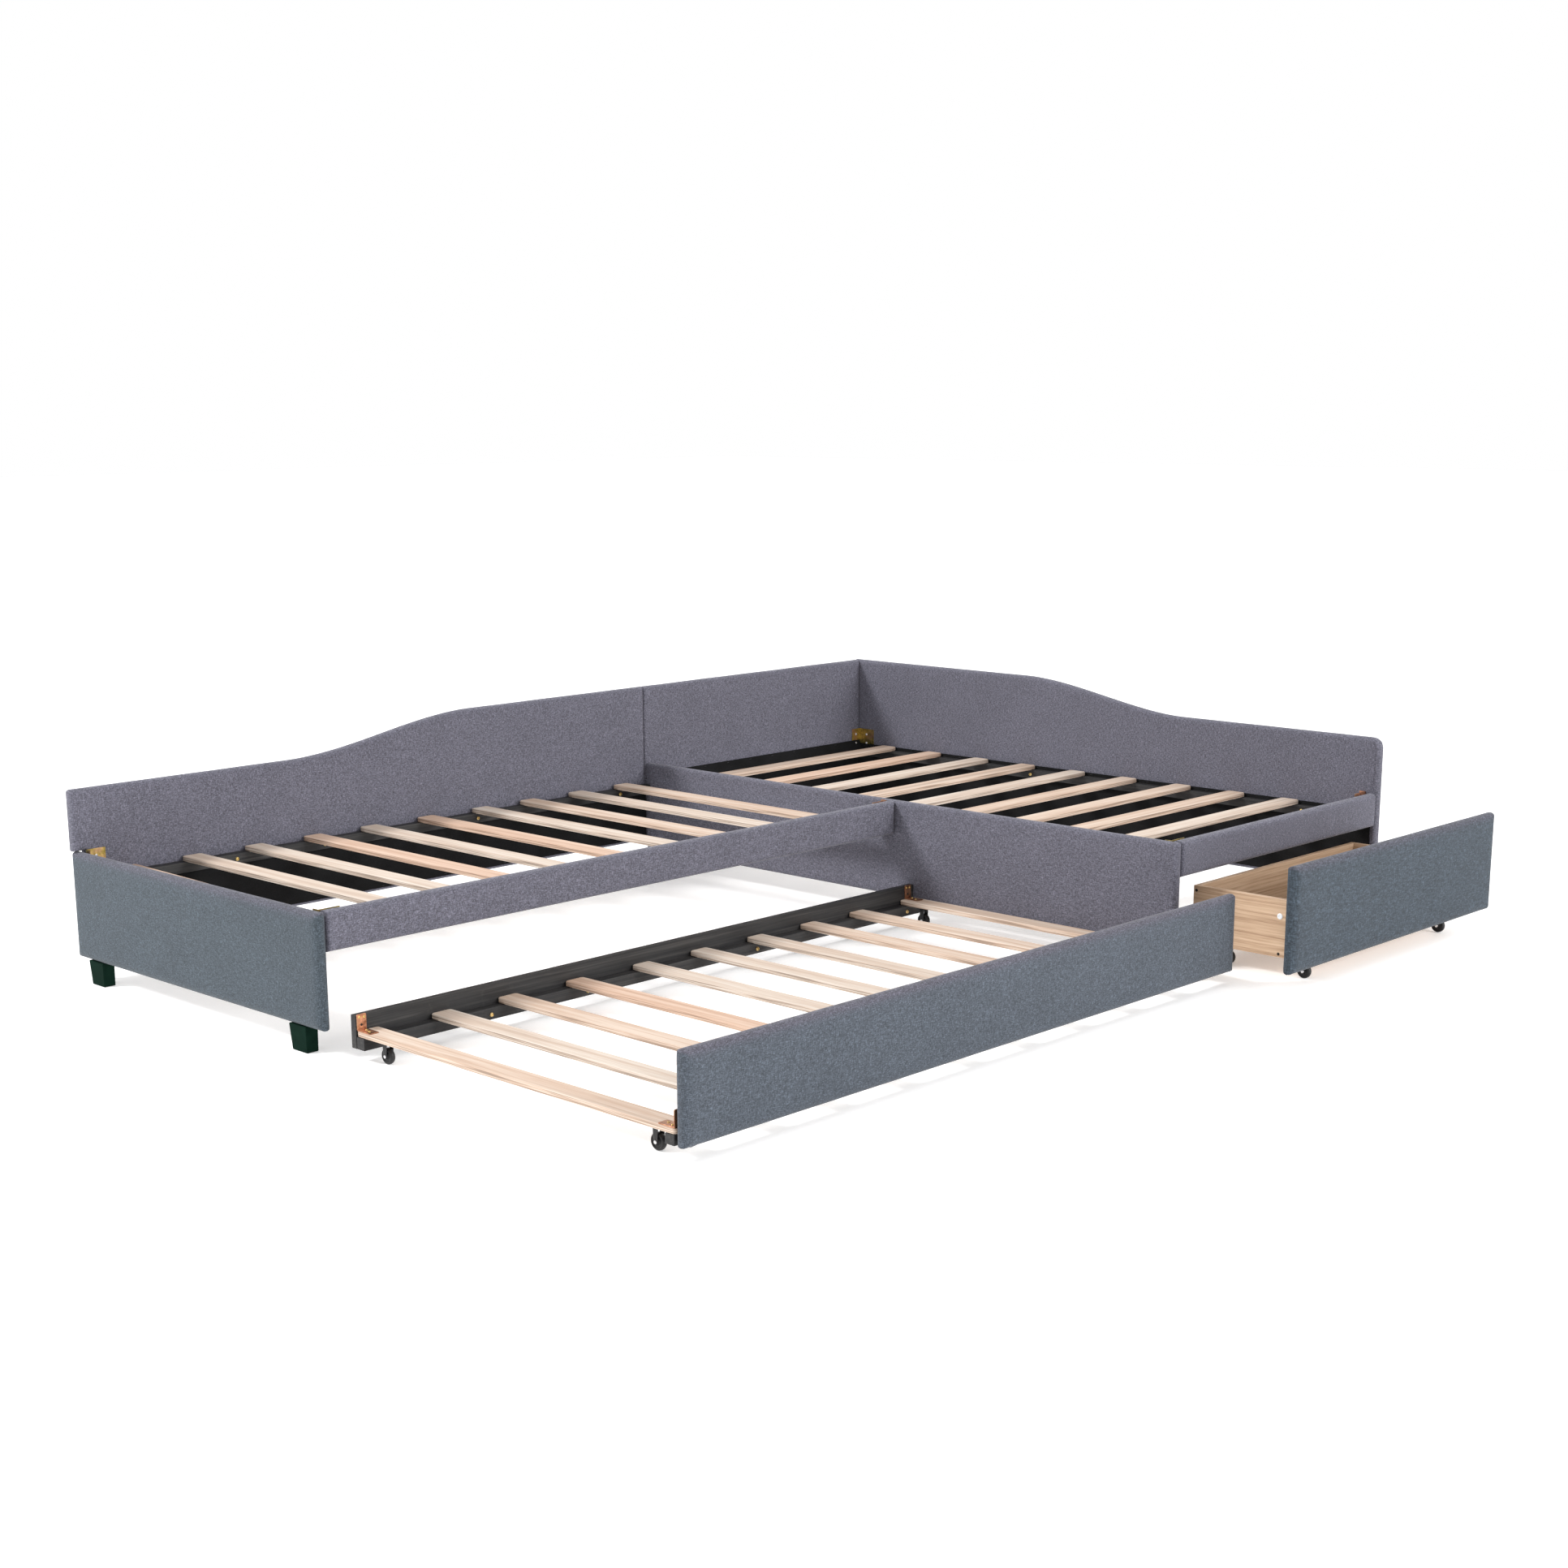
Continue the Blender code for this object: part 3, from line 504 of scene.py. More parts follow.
def add_grid(solid, grid):
    """Quads between the rows of a grid of vertices."""
    for first, second in zip(grid, grid[1:]):
        for row in range(len(first) - 1):
            solid.faces.new((first[row], second[row], second[row + 1], first[row + 1]))


def lying_flat(u, v, w):
    """A plate's own (u, v, w) as (x, y, z)."""
    return Vector((u, v, w))


def rounded_outline(low, high, radius, points=5):
    """A rectangle in (u, v) with round corners."""
    outline = []
    centres = ((high[0] - radius, high[1] - radius, 0), (low[0] + radius, high[1] - radius, 90),
               (low[0] + radius, low[1] + radius, 180), (high[0] - radius, low[1] + radius, 270))
    for u, v, start in centres:
        for step in range(points + 1):
            angle = math.radians(start + 90 * step / points)
            outline.append((u + radius * math.cos(angle), v + radius * math.sin(angle)))
    return outline


def sharp_edged(made, angle=35):
    """Smooth shading that keeps the sharp edges of boards and metal."""
    made.data.set_sharp_from_angle(angle=math.radians(angle))
    return made


# ---------------------------------------------------------------- upholstered panels
def rounding(distance, radius):
    """Share of the full thickness at a distance in from a rounded edge."""
    if distance >= radius:
        return 1.0
    inward = 1 - max(distance, 0) / radius
    return (1 - inward ** EDGE_POWER) ** (1 / EDGE_POWER)


def ease(share):
    """A smooth step from 0 to 1."""
    share = min(1.0, max(0.0, share))
    return share * share * (3 - 2 * share)


def column_places(start, end, start_radius, end_radius, seams):
    """Places along a panel: close together at its ends and seams, evenly spread between."""
    places = [start + share * start_radius for share in EDGE_SHARES]
    places += [end - share * end_radius for share in EDGE_SHARES]
    inner = end - start - start_radius - end_radius
    count = max(1, round(inner / PANEL_STEP))
    places += [start + start_radius + inner * step / count for step in range(1, count)]
    for seam in seams:
        places += [seam + SEAM_WIDTH * offset for offset in SEAM_COLUMNS]
    return sorted(set(round(place, 6) for place in places))


def level_places(low, high, edge, soft_high):
    """Heights across a panel: close together at its padded edges, evenly spread between."""
    levels = [low + share * edge for share in EDGE_SHARES]
    levels += [high - share * edge for share in EDGE_SHARES] if soft_high else [high]
    first = low + edge
    last = high - (edge if soft_high else 0)
    count = max(2, round((last - first) / PANEL_STEP))
    levels += [first + (last - first) * step / count for step in range(1, count)]
    return sorted(levels)


def padded_panel(node, material, crest=None, ends=(END_RADIUS, END_RADIUS), corners=UPPER_CORNERS,
                 gaps=(0.0, 0.0), edge=EDGE_RADIUS, crown=0.0, seams=(), pucker=0.0, notch=None):
    """A board wrapped in padding and fabric, in its CAD panel's place, with soft edges and faces.

    crest gives the top's height at a place along the panel. ends are the radii of its two ends and
    gaps how far each end stops short; edge is its top's and bottom's radius. crown is the swell of
    its faces at mid-length. notch is the inner corner (place, z) of a step cut from the lower start.
    """
    low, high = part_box(node)
    along_x = high.x - low.x > high.y - low.y
    start, end = (low.x, high.x) if along_x else (low.y, high.y)
    start += gaps[0]
    end -= gaps[1]
    middle = (low.y + high.y) / 2 if along_x else (low.x + high.x) / 2
    half = (high.y - low.y) / 2 if along_x else (high.x - low.x) / 2
    bottom = low.z
    top_at = crest or (lambda place: high.z)
    seed = sum(ord(letter) for letter in node) % 97

    def edge_distances(place, z, top):
        """Distances in from the start, end, bottom and top edges, and from the notch's corner."""
        from_start, from_bottom, from_notch = place - start, z - bottom, 1.0
        if notch:
            across, above = place - notch[0], z - notch[1]
            if above < 0:
                from_start = across
            elif across < 0:
                from_bottom = above
            else:
                from_notch = math.hypot(across, above)
        return from_start, end - place, from_bottom, top - z, from_notch

    def face_depth(place, z, side, distances):
        """How far a face stands out from the panel's middle, and its share of the full thickness."""
        from_start, from_end, from_bottom, from_top, from_notch = distances
        share = min(rounding(from_start, ends[0]), rounding(from_end, ends[1]),
                    rounding(from_bottom, edge), rounding(from_top, edge), rounding(from_notch, edge))
        wave = sum(part * noise.noise(Vector((place * along, z * up, side * shift + seed)))
                   for along, up, shift, part in WAVES)
        depth = half * share + ease(min(distances) / PADDING_REACH) * (PADDING + PADDING_WAVE * wave)
        depth += crown * share * math.sin(math.pi * (place - start) / (end - start))
        for seam in seams:
            depth -= SEAM_DEPTH * math.exp(-((place - seam) / SEAM_WIDTH) ** 2) * ease(share)
        return depth, share

    def gathered(place, z, side, distances):
        """How far the cloth is puffed out or drawn in by the gathers at a lower corner."""
        from_start, from_end, from_bottom = distances[:3]
        nearness = ease(1 - min(from_start, from_end) / PUCKER_LENGTH) * ease(1 - from_bottom / PUCKER_HEIGHT)
        return pucker * nearness * noise.noise(Vector((place * 150, z * 40, side * 2 + seed)))

    def round_corner(place, z, distances):
        """Draw a point in round the nearest corner of the panel's outline."""
        from_start, from_end, from_bottom, from_top = distances[:4]
        radius = corners[0] if from_start < from_end else corners[1]
        radius *= 1 if from_top < from_bottom else LOWER_CORNER
        from_side = min(from_start, from_end)
        from_level = min(from_top, from_bottom)
        if radius and from_side < radius and from_level < radius:
            across = (radius - from_side) / radius
            up = (radius - from_level) / radius
            pull = 1 - max(across, up) / math.hypot(across, up)
            place += across * pull * radius * (1 if from_start < from_end else -1)
            z += up * pull * radius * (1 if from_bottom < from_top else -1)
        return place, z

    def vertex(solid, place, z, top, side):
        distances = edge_distances(place, z, top)
        from_bottom, from_top = distances[2:4]
        depth, share = face_depth(place, z, side, distances)
        crumple = gathered(place, z, side, distances)
        depth += crumple * share
        z += crumple * ease(1 - from_bottom / PUCKER_HEM)
        place, z = round_corner(place, z, distances)
        waver = noise.noise(Vector((place * 6, seed, 0)))
        z += TOP_WAVER * waver * (1 - ease(from_top / TOP_WAVER_REACH))
        offset = middle + side * depth
        return solid.verts.new((place, offset, z) if along_x else (offset, place, z))

    def face_grid(solid, side, places, floor, ceiling):
        """One face's part between two levels; ceiling None means up to the crest."""
        grid = []
        for place in places:
            top = top_at(place)
            levels = level_places(floor, ceiling or top, edge, not ceiling)
            grid.append([vertex(solid, place, z, top, side) for z in levels])
        add_grid(solid, grid)

    places = column_places(start, end, *ends, seams)
    if notch:
        places += [notch[0] + way * share * edge for share in EDGE_SHARES[1:] for way in (1, -1)]
        places = sorted(set(places + [notch[0]]))
    solid = bmesh.new()
    for side in (1, -1):
        if notch:
            face_grid(solid, side, [place for place in places if place >= notch[0]], bottom, notch[1])
            face_grid(solid, side, places, notch[1], None)
        else:
            face_grid(solid, side, places, bottom, None)
    bmesh.ops.remove_doubles(solid, verts=solid.verts, dist=2e-6)
    made = piece(f"{node}_padding", solid, material, BODY_OF[node])
    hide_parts(node)


def upholstery():
    """Every fabric-wrapped panel of the beds, the trundle and the drawer."""
    back_low, back_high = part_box("back_panel_long")
    board_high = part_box("footboard")[1]
    rise_from = back_low.x + BACK_RISE_START

    def back_crest(x):
        return BACK_LOW_TOP + (back_high.z - BACK_LOW_TOP) * ease((x - rise_from) / BACK_RISE_LENGTH)

    side_low, side_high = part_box("side_panel")
    drop_end = back_low.y - SIDE_DROP_START - SIDE_DROP_LENGTH

    def side_crest(y):
        return BACK_LOW_TOP + (side_high.z - BACK_LOW_TOP) * ease((y - drop_end) / SIDE_DROP_LENGTH)

    step = (board_high.x + NOTCH_GAP, board_high.z + NOTCH_GAP)
    padded_panel("back_panel_long", FABRIC, back_crest, (END_RADIUS, SEAM_RADIUS), BACK_CORNERS, notch=step)
    padded_panel("back_panel_short", FABRIC, None, (SEAM_RADIUS, SEAM_RADIUS), (0, 0))
    padded_panel("side_panel", FABRIC, side_crest, corners=SIDE_CORNERS, seams=(side_low.y + SIDE_SEAM,))
    padded_panel("divider_panel", FABRIC)
    padded_panel("footboard", FABRIC_SHADED_FOOTBOARD, None, (SOFT_RADIUS, SOFT_RADIUS), edge=SOFT_RADIUS,
                 crown=FOOTBOARD_CROWN)
    rail_gaps = (RAIL_OUTER_GAP, RAIL_GAP)
    padded_panel("front_rail", FABRIC, None, (SEAM_RADIUS, END_RADIUS), (0, 0), rail_gaps)
    padded_panel("foot_rail", FABRIC, None, (END_RADIUS, SEAM_RADIUS), (0, 0), rail_gaps[::-1])
    for node, material in (("trundle_front_panel", FABRIC_SHADED_TRUNDLE), ("drawer_front_panel", FABRIC_SHADED_DRAWER)):
        padded_panel(node, material, None, (SOFT_RADIUS, SOFT_RADIUS), edge=SOFT_RADIUS, pucker=PUCKER)


# ---------------------------------------------------------------- slats and ledgers
def slat(name, low, high, along, tone, body, nodes, skew=0.0):
    """One plywood slat with rounded corners and eased edges; skew moves its near end along x."""
    solid = bmesh.new()
    outline = rounded_outline((low.x, low.y), (high.x, high.y), SLAT_CORNER)

    def lying(u, v, w):
        return Vector((u + skew * (high.y - v) / (high.y - low.y), v, w))

    add_prism(solid, outline, low.z, high.z, SLAT_EDGE, lying)
    made = sharp_edged(piece(name, solid, SLATS[along][tone], body))
    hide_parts(*nodes)


def board(name, low, high, edge, material, body, nodes):
    """A straight board with small chamfers."""
    solid = bmesh.new()
    outline = rounded_outline((low.x, low.y), (high.x, high.y), edge, 2)
    add_prism(solid, outline, low.z, high.z, edge, lying_flat)
    made = sharp_edged(piece(name, solid, material, body))
    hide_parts(*nodes)


def spans(values):
    """Pairs of first and last place from sorted distinct places."""
    found = []
    for value in sorted(values):
        if not found or value - found[-1] > 1e-4:
            found.append(value)
    return list(zip(found[0::2], found[1::2]))


def slat_deck(node, prefix, axis, tones, first_skew=0.0):
    """A bed's slats and two ledgers, each where its CAD deck has it; slats lie side by side along axis."""
    across = 1 - axis
    points = [vertex.co.copy() for vertex in frame["nodes"][node].data.vertices]
    low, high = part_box(node)
    top = [point for point in points if point.z > high.z - 1e-4]
    near = min(point[across] for point in top)
    far = max(point[across] for point in top)
    under = sorted({round(point.z, 5) for point in points})[1]     # the slats' undersides
    along = "xy"[across]
    for index, (start, end) in enumerate(spans([point[axis] for point in top])):
        first = Vector((0, 0, under))
        last = Vector((0, 0, high.z))
        first[axis], last[axis] = start, end
        first[across], last[across] = near, far
        slat(f"{prefix}_slat_{index + 1:02d}", first, last, along, tones[index], BODY_OF[node],
             [node], 0.0 if index else first_skew)
    base = [point for point in points if point.z < low.z + 1e-4]
    material = STAINED_X if axis == 0 else STAINED_Y
    for index, (start, end) in enumerate(spans([point[across] for point in base])):
        first = low.copy()
        last = Vector((high.x, high.y, under))
        first[across], last[across] = start, end
        if axis == 1:
            first.y = min(point.y for point in base)
            last.y = max(point.y for point in base)
        board(f"{prefix}_ledger_{index + 1}", first, last, LEDGER_EDGE, material, BODY_OF[node],
              [node])


def trundle_slats():
    """The trundle's ten slats, each on its own CAD node."""
    for index in range(1, 11):
        node = f"trundle_slat_{index:02d}"
        low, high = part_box(node)
        slat(f"{node}_board", low, high, "y", TRUNDLE_TONES[index - 1], "trundle", [node])


# ---------------------------------------------------------------- dust covers
def dust_cover(name, ends, bottom, top, plane, along_x):
    """A thin black cloth stapled over the inside of a panel, wrinkled between its staples."""
    start, end = ends
    columns = round((end - start) / COVER_CELL[0])
    rows = round((top - bottom) / COVER_CELL[1])
    solid = bmesh.new()
    grid = []
    for column in range(columns + 1):
        place = start + (end - start) * column / columns
        line = []
        for row in range(rows + 1):
            level = row / rows
            z = bottom + (top - bottom) * level
            loose = math.sin(math.pi * level) ** 0.5 if 0 < level < 1 else 0
            fold = noise.noise(Vector((place * 13 + z * 9, z * 5, plane * 11)))
            crease = noise.noise(Vector((place * 42 - z * 30, z * 16, plane * 7)))
            off = plane - COVER_OFF - COVER_SLACK * loose * (1 + fold) - COVER_CREASE * crease
            line.append(solid.verts.new((place, off, z) if along_x else (off, place, z)))
        grid.append(line)
    add_grid(solid, grid)
    made = piece(name, solid, COVER, "bed_frame")


def staples(name, ends, levels, plane, along_x):
    """Wire staples along a dust cover's upper and lower edges."""
    start, end = ends[0] + STAPLE_FIRST, ends[1] - STAPLE_FIRST
    count = round((end - start) / STAPLE_PITCH)
    half_length, half_width = STAPLE_HALF

    def on_panel(u, v, w):
        off = plane - COVER_OFF - w
        return Vector((u, off, v)) if along_x else Vector((off, u, v))

    solid = bmesh.new()
    for level in levels:
        for step in range(count + 1):
            place = start + (end - start) * step / count
            wire = rounded_outline((place - half_length, level - half_width),
                                   (place + half_length, level + half_width), 0.0005, 2)
            add_prism(solid, wire, *STAPLE_WIRE, 0.0002, on_panel)
    sharp_edged(piece(name, solid, STAPLE, "bed_frame"), HEAD_ANGLE)


def dust_covers():
    """The black cloths behind both beds' heads and along the side, with their staples."""
    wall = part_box("back_panel_long")[0].y
    bay_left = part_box("footboard")[1].x
    divider_left, divider_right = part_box("divider_panel")[0].x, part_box("divider_panel")[1].x
    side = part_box("side_panel")[0].x
    foot_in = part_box("foot_rail")[1].y
    back_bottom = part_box("back_panel_long")[0].z + COVER_HEM
    side_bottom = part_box("side_panel")[0].z + COVER_HEM
    ends_a = (bay_left + COVER_GAP, divider_left - COVER_GAP)
    ends_b = (divider_right + COVER_GAP, side - COVER_GAP)
    ends_side = (foot_in - COVER_PAST_RAIL, wall - COVER_GAP)
    for name, ends, bottom, top, plane, along_x in (
        ("back_a", ends_a, back_bottom, COVER_TOP_A, wall, True),
        ("back_b", ends_b, back_bottom, COVER_TOP_B, wall, True),
        ("side", ends_side, side_bottom, COVER_TOP_SIDE, side, False),
    ):
        dust_cover(f"dust_cover_{name}", ends, bottom, top, plane, along_x)
        levels = (bottom + STAPLE_INSET, top - STAPLE_INSET)
        staples(f"dust_cover_{name}_staples", ends, levels, plane, along_x)


# ---------------------------------------------------------------- small metal parts
def add_head(solid, at, axis, radius, height, dimple=0.45):
    """A domed screw or bolt head with a round dimple for its driver."""
    inner = radius * dimple
    profile = [(0, 0), (0, radius), (height * 0.35, radius), (height * 0.8, radius * 0.82),
               (height, inner * 1.15), (height * 0.95, inner), (height * 0.35, inner * 0.8),
               (height * 0.3, 0)]
    add_lathe(solid, profile, at, axis, 18)


def bracket_screws():
    """Two screws in each leg of every bed bracket; each corner opens toward (x, y)."""
    corners = {
        "bracket_footboard_back": (1, -1),
        "bracket_footboard_rail": (1, 1),
        "bracket_divider_rail": (-1, 1),
        "bracket_back_corner": (-1, -1),
        "bracket_side_foot": (-1, 1),
        "bracket_divider_foot": (1, 1),
    }
    for node, (toward_x, toward_y) in corners.items():
        low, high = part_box(node)
        corner_x = low.x if toward_x > 0 else high.x
        corner_y = low.y if toward_y > 0 else high.y
        solid = bmesh.new()
        for share in HOLE_SHARES:
            z = low.z + (high.z - low.z) * share
            on_x = ((low.x + high.x) / 2, corner_y + toward_y * SHEET_FACE, z)
            on_y = (corner_x + toward_x * SHEET_FACE, (low.y + high.y) / 2, z)
            add_head(solid, on_x, (0, toward_y, 0), SCREW_RADIUS, SCREW_HEIGHT)
            add_head(solid, on_y, (toward_x, 0, 0), SCREW_RADIUS, SCREW_HEIGHT)
        sharp_edged(piece(f"{node}_screws", solid, STEEL, "bed_frame"), HEAD_ANGLE)


def trundle_bracket(side, end, toward):
    """A strip bent at a right angle: two screws high on its upright leg, two in its foot."""
    node = f"trundle_bracket_{side}_{end}"
    low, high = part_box(node)
    middle = (low.x + high.x) / 2
    back = low.y if toward > 0 else high.y
    face = back + toward * STRIP_THICK
    solid = bmesh.new()
    leg = rounded_outline((low.x, low.z), (high.x, high.z), STRIP_CORNER)
    add_prism(solid, leg, 0, STRIP_THICK, STRIP_EDGE, lambda u, v, w: Vector((u, back + toward * w, v)))
    foot = rounded_outline((low.x, low.y), (high.x, high.y), STRIP_CORNER)
    add_prism(solid, foot, low.z, low.z + STRIP_THICK, STRIP_EDGE, lying_flat)
    made = sharp_edged(piece(f"{node}_strip", solid, COPPER, "trundle"))
    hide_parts(node)

    solid = bmesh.new()
    for way in (-1, 1):
        on_leg = (middle + way * STRIP_SCREW_SPREAD, face, high.z - STRIP_SCREW_DROP - way * 0.0006)
        add_head(solid, on_leg, (0, toward, 0), STRIP_SCREW_RADIUS, 0.002)
        on_foot = (middle + way * 0.003, low.y + (high.y - low.y) * (0.5 + way * 0.18), low.z + STRIP_THICK)
        add_head(solid, on_foot, (0, 0, 1), STRIP_SCREW_RADIUS, 0.0018)
    sharp_edged(piece(f"{node}_screws", solid, BRASS, "trundle"), HEAD_ANGLE)
    # the strip's hole is a dark disc: painted shade of the hole
    solid = bmesh.new()
    hole_shade = [(-0.0008, 0), (-0.0008, 0.0026), (0.0002, 0.0030), (0.0002, 0)]
    add_lathe(solid, hole_shade, (middle - 0.001, face, low.z + STRIP_HOLE_RISE), (0, toward, 0), 20)
    sharp_edged(piece(f"{node}_hole", solid, HOLE_SHADE, "trundle"), HEAD_ANGLE)


def bolt_row(name, low, high, axis, face, rise, shares, body):
    """Bolt heads at shares of a ledger's length along axis, on its inner face."""
    across = 1 - axis
    outward = Vector((0, 0, 0))
    outward[across] = -1
    solid = bmesh.new()
    for share in shares:
        at = Vector((0, 0, low.z + rise))
        at[axis] = low[axis] + (high[axis] - low[axis]) * share
        at[across] = face
        add_head(solid, at, outward, BOLT_RADIUS, BOLT_HEIGHT)
    sharp_edged(piece(name, solid, BRASS, body), HEAD_ANGLE)


def ledger_bolts():
    """Bolt heads along the ledgers that carry the slats."""
    low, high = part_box("bed_a_slat_deck")
    bolt_row("bed_a_ledger_bolts", low, high, 0, high.y - LEDGER_DEPTH, DECK_BOLT_RISE,
             (0.218, 0.364, 0.643, 0.934), "bed_frame")
    low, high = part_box("bed_b_slat_deck")
    bolt_row("bed_b_ledger_bolts", low, high, 1, high.x - LEDGER_DEPTH, DECK_BOLT_RISE,
             (0.10, 0.37, 0.63, 0.90), "bed_frame")
    low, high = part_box("trundle_ledger_rear")
    bolt_row("trundle_ledger_bolts", low, high, 0, low.y, TRUNDLE_BOLT_RISE,
             (0.190, 0.347, 0.656, 0.970), "trundle")


def drawer_fittings():
    """A cam cap and two screw holes on each side wall of the drawer box; each hole is a dark disc, painted
    shade of its recess.
    """
    cap = [(0, 0), (0, 0.0078), (0.0012, 0.0078), (0.0018, 0.0070), (0.0018, 0.0034), (0.0010, 0.0030),
           (0.0010, 0)]
    hole_shade = [(-0.002, 0), (-0.002, 0.0030), (0.0004, 0.0040), (0.0005, 0.0034), (0.0003, 0)]
    for node, outward in (("drawer_wall_left", -1), ("drawer_wall_right", 1)):
        low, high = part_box(node)
        face = low.x if outward < 0 else high.x
        solid = bmesh.new()
        at = (face - outward * CAP_SUNK, low.y + CAP_IN, CAP_HEIGHT)
        add_lathe(solid, cap, at, (outward, 0, 0), 28)
        sharp_edged(piece(f"{node}_cap", solid, CAP, "drawer"), TURNED_ANGLE)
        # each screw hole is a dark disc: painted shade of its recess
        solid = bmesh.new()
        for y, z in ((high.y - 0.009, high.z - 0.013), (low.y + CAP_IN, low.z + 0.009)):
            add_lathe(solid, hole_shade, (face, y, z), (outward, 0, 0), 20)
        sharp_edged(piece(f"{node}_screw_holes", solid, HOLE_SHADE, "drawer"), TURNED_ANGLE)


# ---------------------------------------------------------------- casters
def caster_wheel(node):
    """A dished nylon wheel with a raised hub and a soft-shouldered tread."""
    low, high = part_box(node)
    half = (high.x - low.x) / 2
    radius = (high.z - low.z) / 2
    rim = [(-half, WHEEL_BORE), (-half, 0.0058), (-half + 0.0008, 0.0064), (-half + 0.0026, 0.0080),
           (-half + 0.0026, radius - 0.0062), (-half + 0.0006, radius - 0.0048),
           (-half + 0.0004, radius - 0.0030), (-half + 0.0016, radius - 0.0012),
           (-half + 0.0036, radius - 0.0003), (0, radius)]
    profile = rim + [(-along, out) for along, out in reversed(rim[:-1])] + [rim[0]]
    solid = bmesh.new()
    add_lathe(solid, profile, (low + high) / 2, (1, 0, 0), 48)
    bmesh.ops.remove_doubles(solid, verts=solid.verts, dist=1e-6)
    wheel = sharp_edged(piece(f"{node}_tyre", solid, TREAD, BODY_OF[node]), TURNED_ANGLE)
    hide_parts(node)


def caster_fork(node, centre, half):
    """A pressed fork: two tapered legs, a top plate with two screws, and a riveted axle."""
    low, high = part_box(node)
    under = high.z - FORK_PLATE
    leg_in = half + FORK_CLEARANCE
    leg_out = leg_in + FORK_SHEET
    shoulder = (high.y - low.y) / 2
    leg = [(shoulder, under + 0.001 - centre.z), (-shoulder, under + 0.001 - centre.z)]
    leg += [(FORK_TIP * math.cos(math.radians(angle)), FORK_TIP * math.sin(math.radians(angle)))
            for angle in range(180, 361, 20)]
    solid = bmesh.new()
    for way in (-1, 1):
        inner, outer = sorted((way * leg_in, way * leg_out))
        add_prism(solid, leg, inner, outer, 0.0003,
                  lambda u, v, w: Vector((centre.x + w, centre.y + u, centre.z + v)))
    plate = rounded_outline((low.x, low.y), (high.x, high.y), 0.003)
    add_prism(solid, plate, under, high.z, 0.0004, lying_flat)
    for way in (-1, 1):
        screw = (centre.x + way * FORK_SCREWS, centre.y, under + 0.0004)
        add_head(solid, screw, (0, 0, -1), 0.0028, 0.0018)
    fork = sharp_edged(piece(f"{node}_frame", solid, CASTER, BODY_OF[node]), TURNED_ANGLE)
    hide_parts(node)

    solid = bmesh.new()
    reach = leg_out + 0.0002
    rivet = [(-reach - RIVET_HEIGHT, 0), (-reach - RIVET_HEIGHT, 0.0022), (-reach - 0.0008, 0.0036),
             (-reach, RIVET_RADIUS), (-reach, AXLE_RADIUS)]
    axle = rivet + [(-along, out) for along, out in reversed(rivet)]
    add_lathe(solid, axle, centre, (1, 0, 0), 24)
    sharp_edged(piece(f"{node}_axle", solid, STEEL, BODY_OF[node]), TURNED_ANGLE)


def casters():
    """Rigid casters: two at each end of the trundle and of the drawer."""
    for kind in ("trundle", "drawer"):
        for side in ("left", "right"):
            for end in ("front", "rear"):
                wheel = f"{kind}_caster_wheel_{side}_{end}"
                caster_wheel(wheel)
                low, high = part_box(wheel)
                caster_fork(f"{kind}_caster_fork_{side}_{end}", (low + high) / 2, (high.x - low.x) / 2)


# ---------------------------------------------------------------- CAD nodes that stay
def paint(node, material):
    """Give a CAD node its procedural material."""
    mesh = frame["nodes"][node].data
    mesh.materials.clear()
    mesh.materials.append(material)


def carried_over():
    """Paint the feet, brackets, drawer box and trundle boards, whose CAD shapes are shown as they are."""
    for node in frame["nodes"]:
        if node.startswith("foot_") and node != "foot_rail":
            paint(node, FOOT)
        if node.startswith("bracket_"):
            paint(node, COPPER if node in COPPER_BRACKETS else ZINC)
    for node in ("drawer_wall_left", "drawer_wall_right", "drawer_wall_rear"):
        paint(node, OAK_UPRIGHT)
    paint("drawer_bottom", OAK_FLAT)
    for node in ("trundle_back_rail", "trundle_ledger_front", "trundle_ledger_rear"):
        paint(node, STAINED_X)


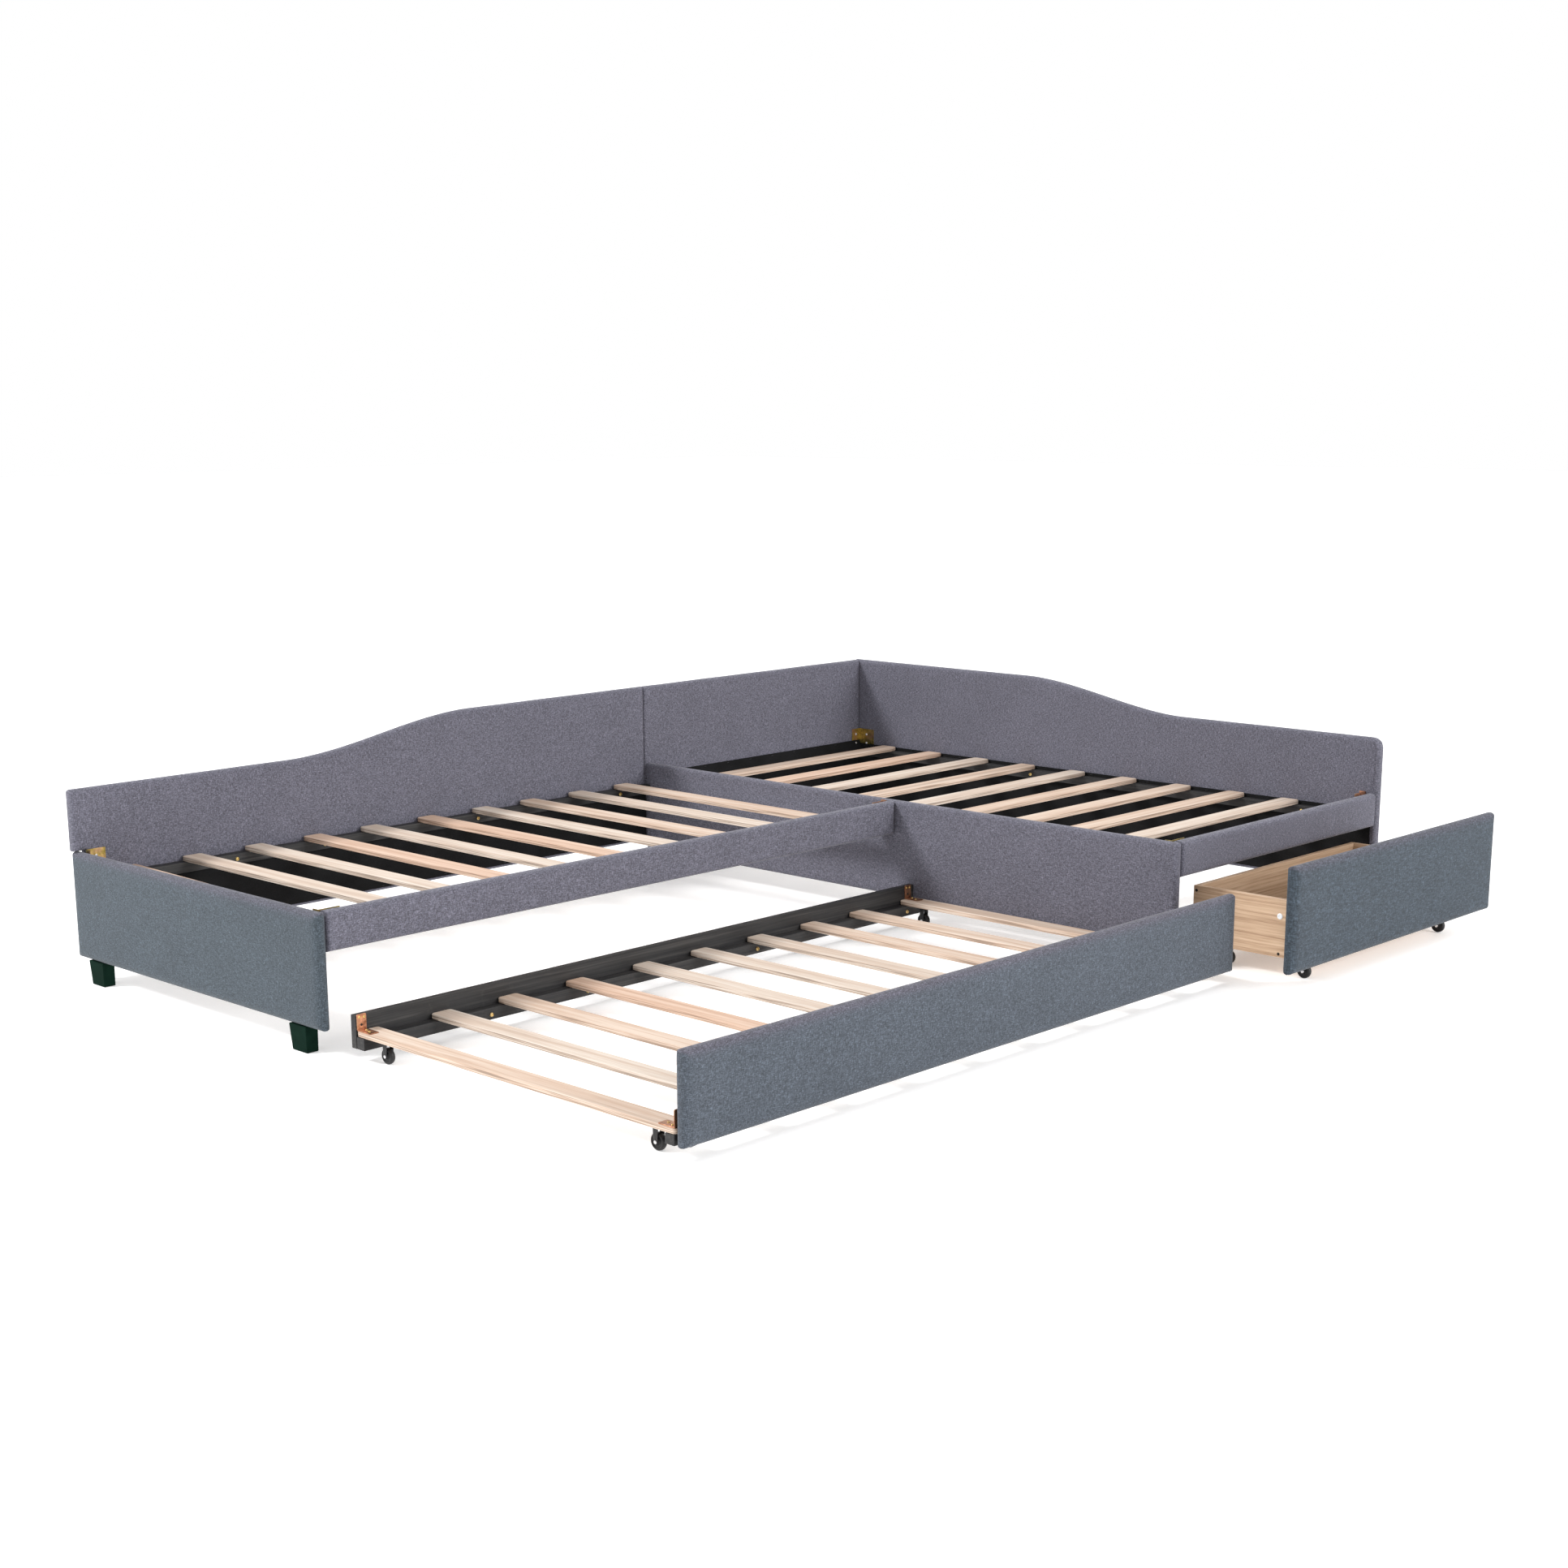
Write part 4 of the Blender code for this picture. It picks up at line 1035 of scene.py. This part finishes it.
# ---------------------------------------------------------------- studio
def studio():
    """White surroundings, a pale floor and two soft lights."""
    scene = bpy.context.scene
    world = bpy.data.worlds.new("studio")
    world.use_nodes = True
    background = world.node_tree.nodes["Background"]
    background.inputs["Color"].default_value = (1.0, 1.0, 1.0, 1.0)
    background.inputs["Strength"].default_value = 1.0
    scene.world = world
    scene.view_settings.view_transform = "Standard"

    solid = bmesh.new()
    reach = 40
    corners = ((-reach, -reach), (reach, -reach), (reach, reach), (-reach, reach))
    solid.faces.new([solid.verts.new((x, y, -0.0005)) for x, y in corners])
    mesh = bpy.data.meshes.new("studio_floor")
    solid.to_mesh(mesh)
    solid.free()
    floor = bpy.data.objects.new("studio_floor", mesh)
    floor.data.materials.append(floor_finish())
    scene.collection.objects.link(floor)

    for name, place, target, size, power in (
        ("front", (3.2, -15.0, 5.6), (0, 0, 0.2), 6.0, 1750),
        ("key", (-10.4, 7.0, 10.4), (0, 0.1, 0.2), 3.2, 2100),
    ):
        light = bpy.data.lights.new(name, "AREA")
        light.size = size
        light.energy = power
        lamp = bpy.data.objects.new(name, light)
        lamp.location = place
        lamp.rotation_mode = "QUATERNION"
        lamp.rotation_quaternion = (Vector(target) - Vector(place)).to_track_quat("-Z", "Y")
        scene.collection.objects.link(lamp)


def camera():
    """A camera at the product picture's viewing angle."""
    sin_yaw, cos_yaw = math.sin(CAMERA_YAW), math.cos(CAMERA_YAW)
    sin_pitch, cos_pitch = math.sin(CAMERA_PITCH), math.cos(CAMERA_PITCH)
    forward = Vector((sin_yaw * cos_pitch, cos_yaw * cos_pitch, -sin_pitch))
    level = Vector((cos_yaw, -sin_yaw, 0))
    upward = level.cross(forward)
    right = math.cos(CAMERA_ROLL) * level + math.sin(CAMERA_ROLL) * upward
    up = math.cos(CAMERA_ROLL) * upward - math.sin(CAMERA_ROLL) * level
    data = bpy.data.cameras.new("camera")
    data.lens = CAMERA_LENS
    data.sensor_width = 36.0
    data.shift_x, data.shift_y = CAMERA_SHIFT
    made = bpy.data.objects.new("camera", data)
    turn = Matrix((right, up, -forward)).transposed().to_4x4()
    made.matrix_world = Matrix.Translation(CAMERA_AT) @ turn
    bpy.context.scene.collection.objects.link(made)
    bpy.context.scene.camera = made


# ---------------------------------------------------------------- putting it together
camera()
studio()
upholstery()
slat_deck("bed_a_slat_deck", "bed_a", 0, BED_A_TONES, FIRST_SLAT_SKEW)
slat_deck("bed_b_slat_deck", "bed_b", 1, BED_B_TONES)
trundle_slats()
dust_covers()
carried_over()
bracket_screws()
for bracket_side in ("left", "right"):
    trundle_bracket(bracket_side, "front", 1)
    trundle_bracket(bracket_side, "rear", -1)
ledger_bolts()
drawer_fittings()
casters()
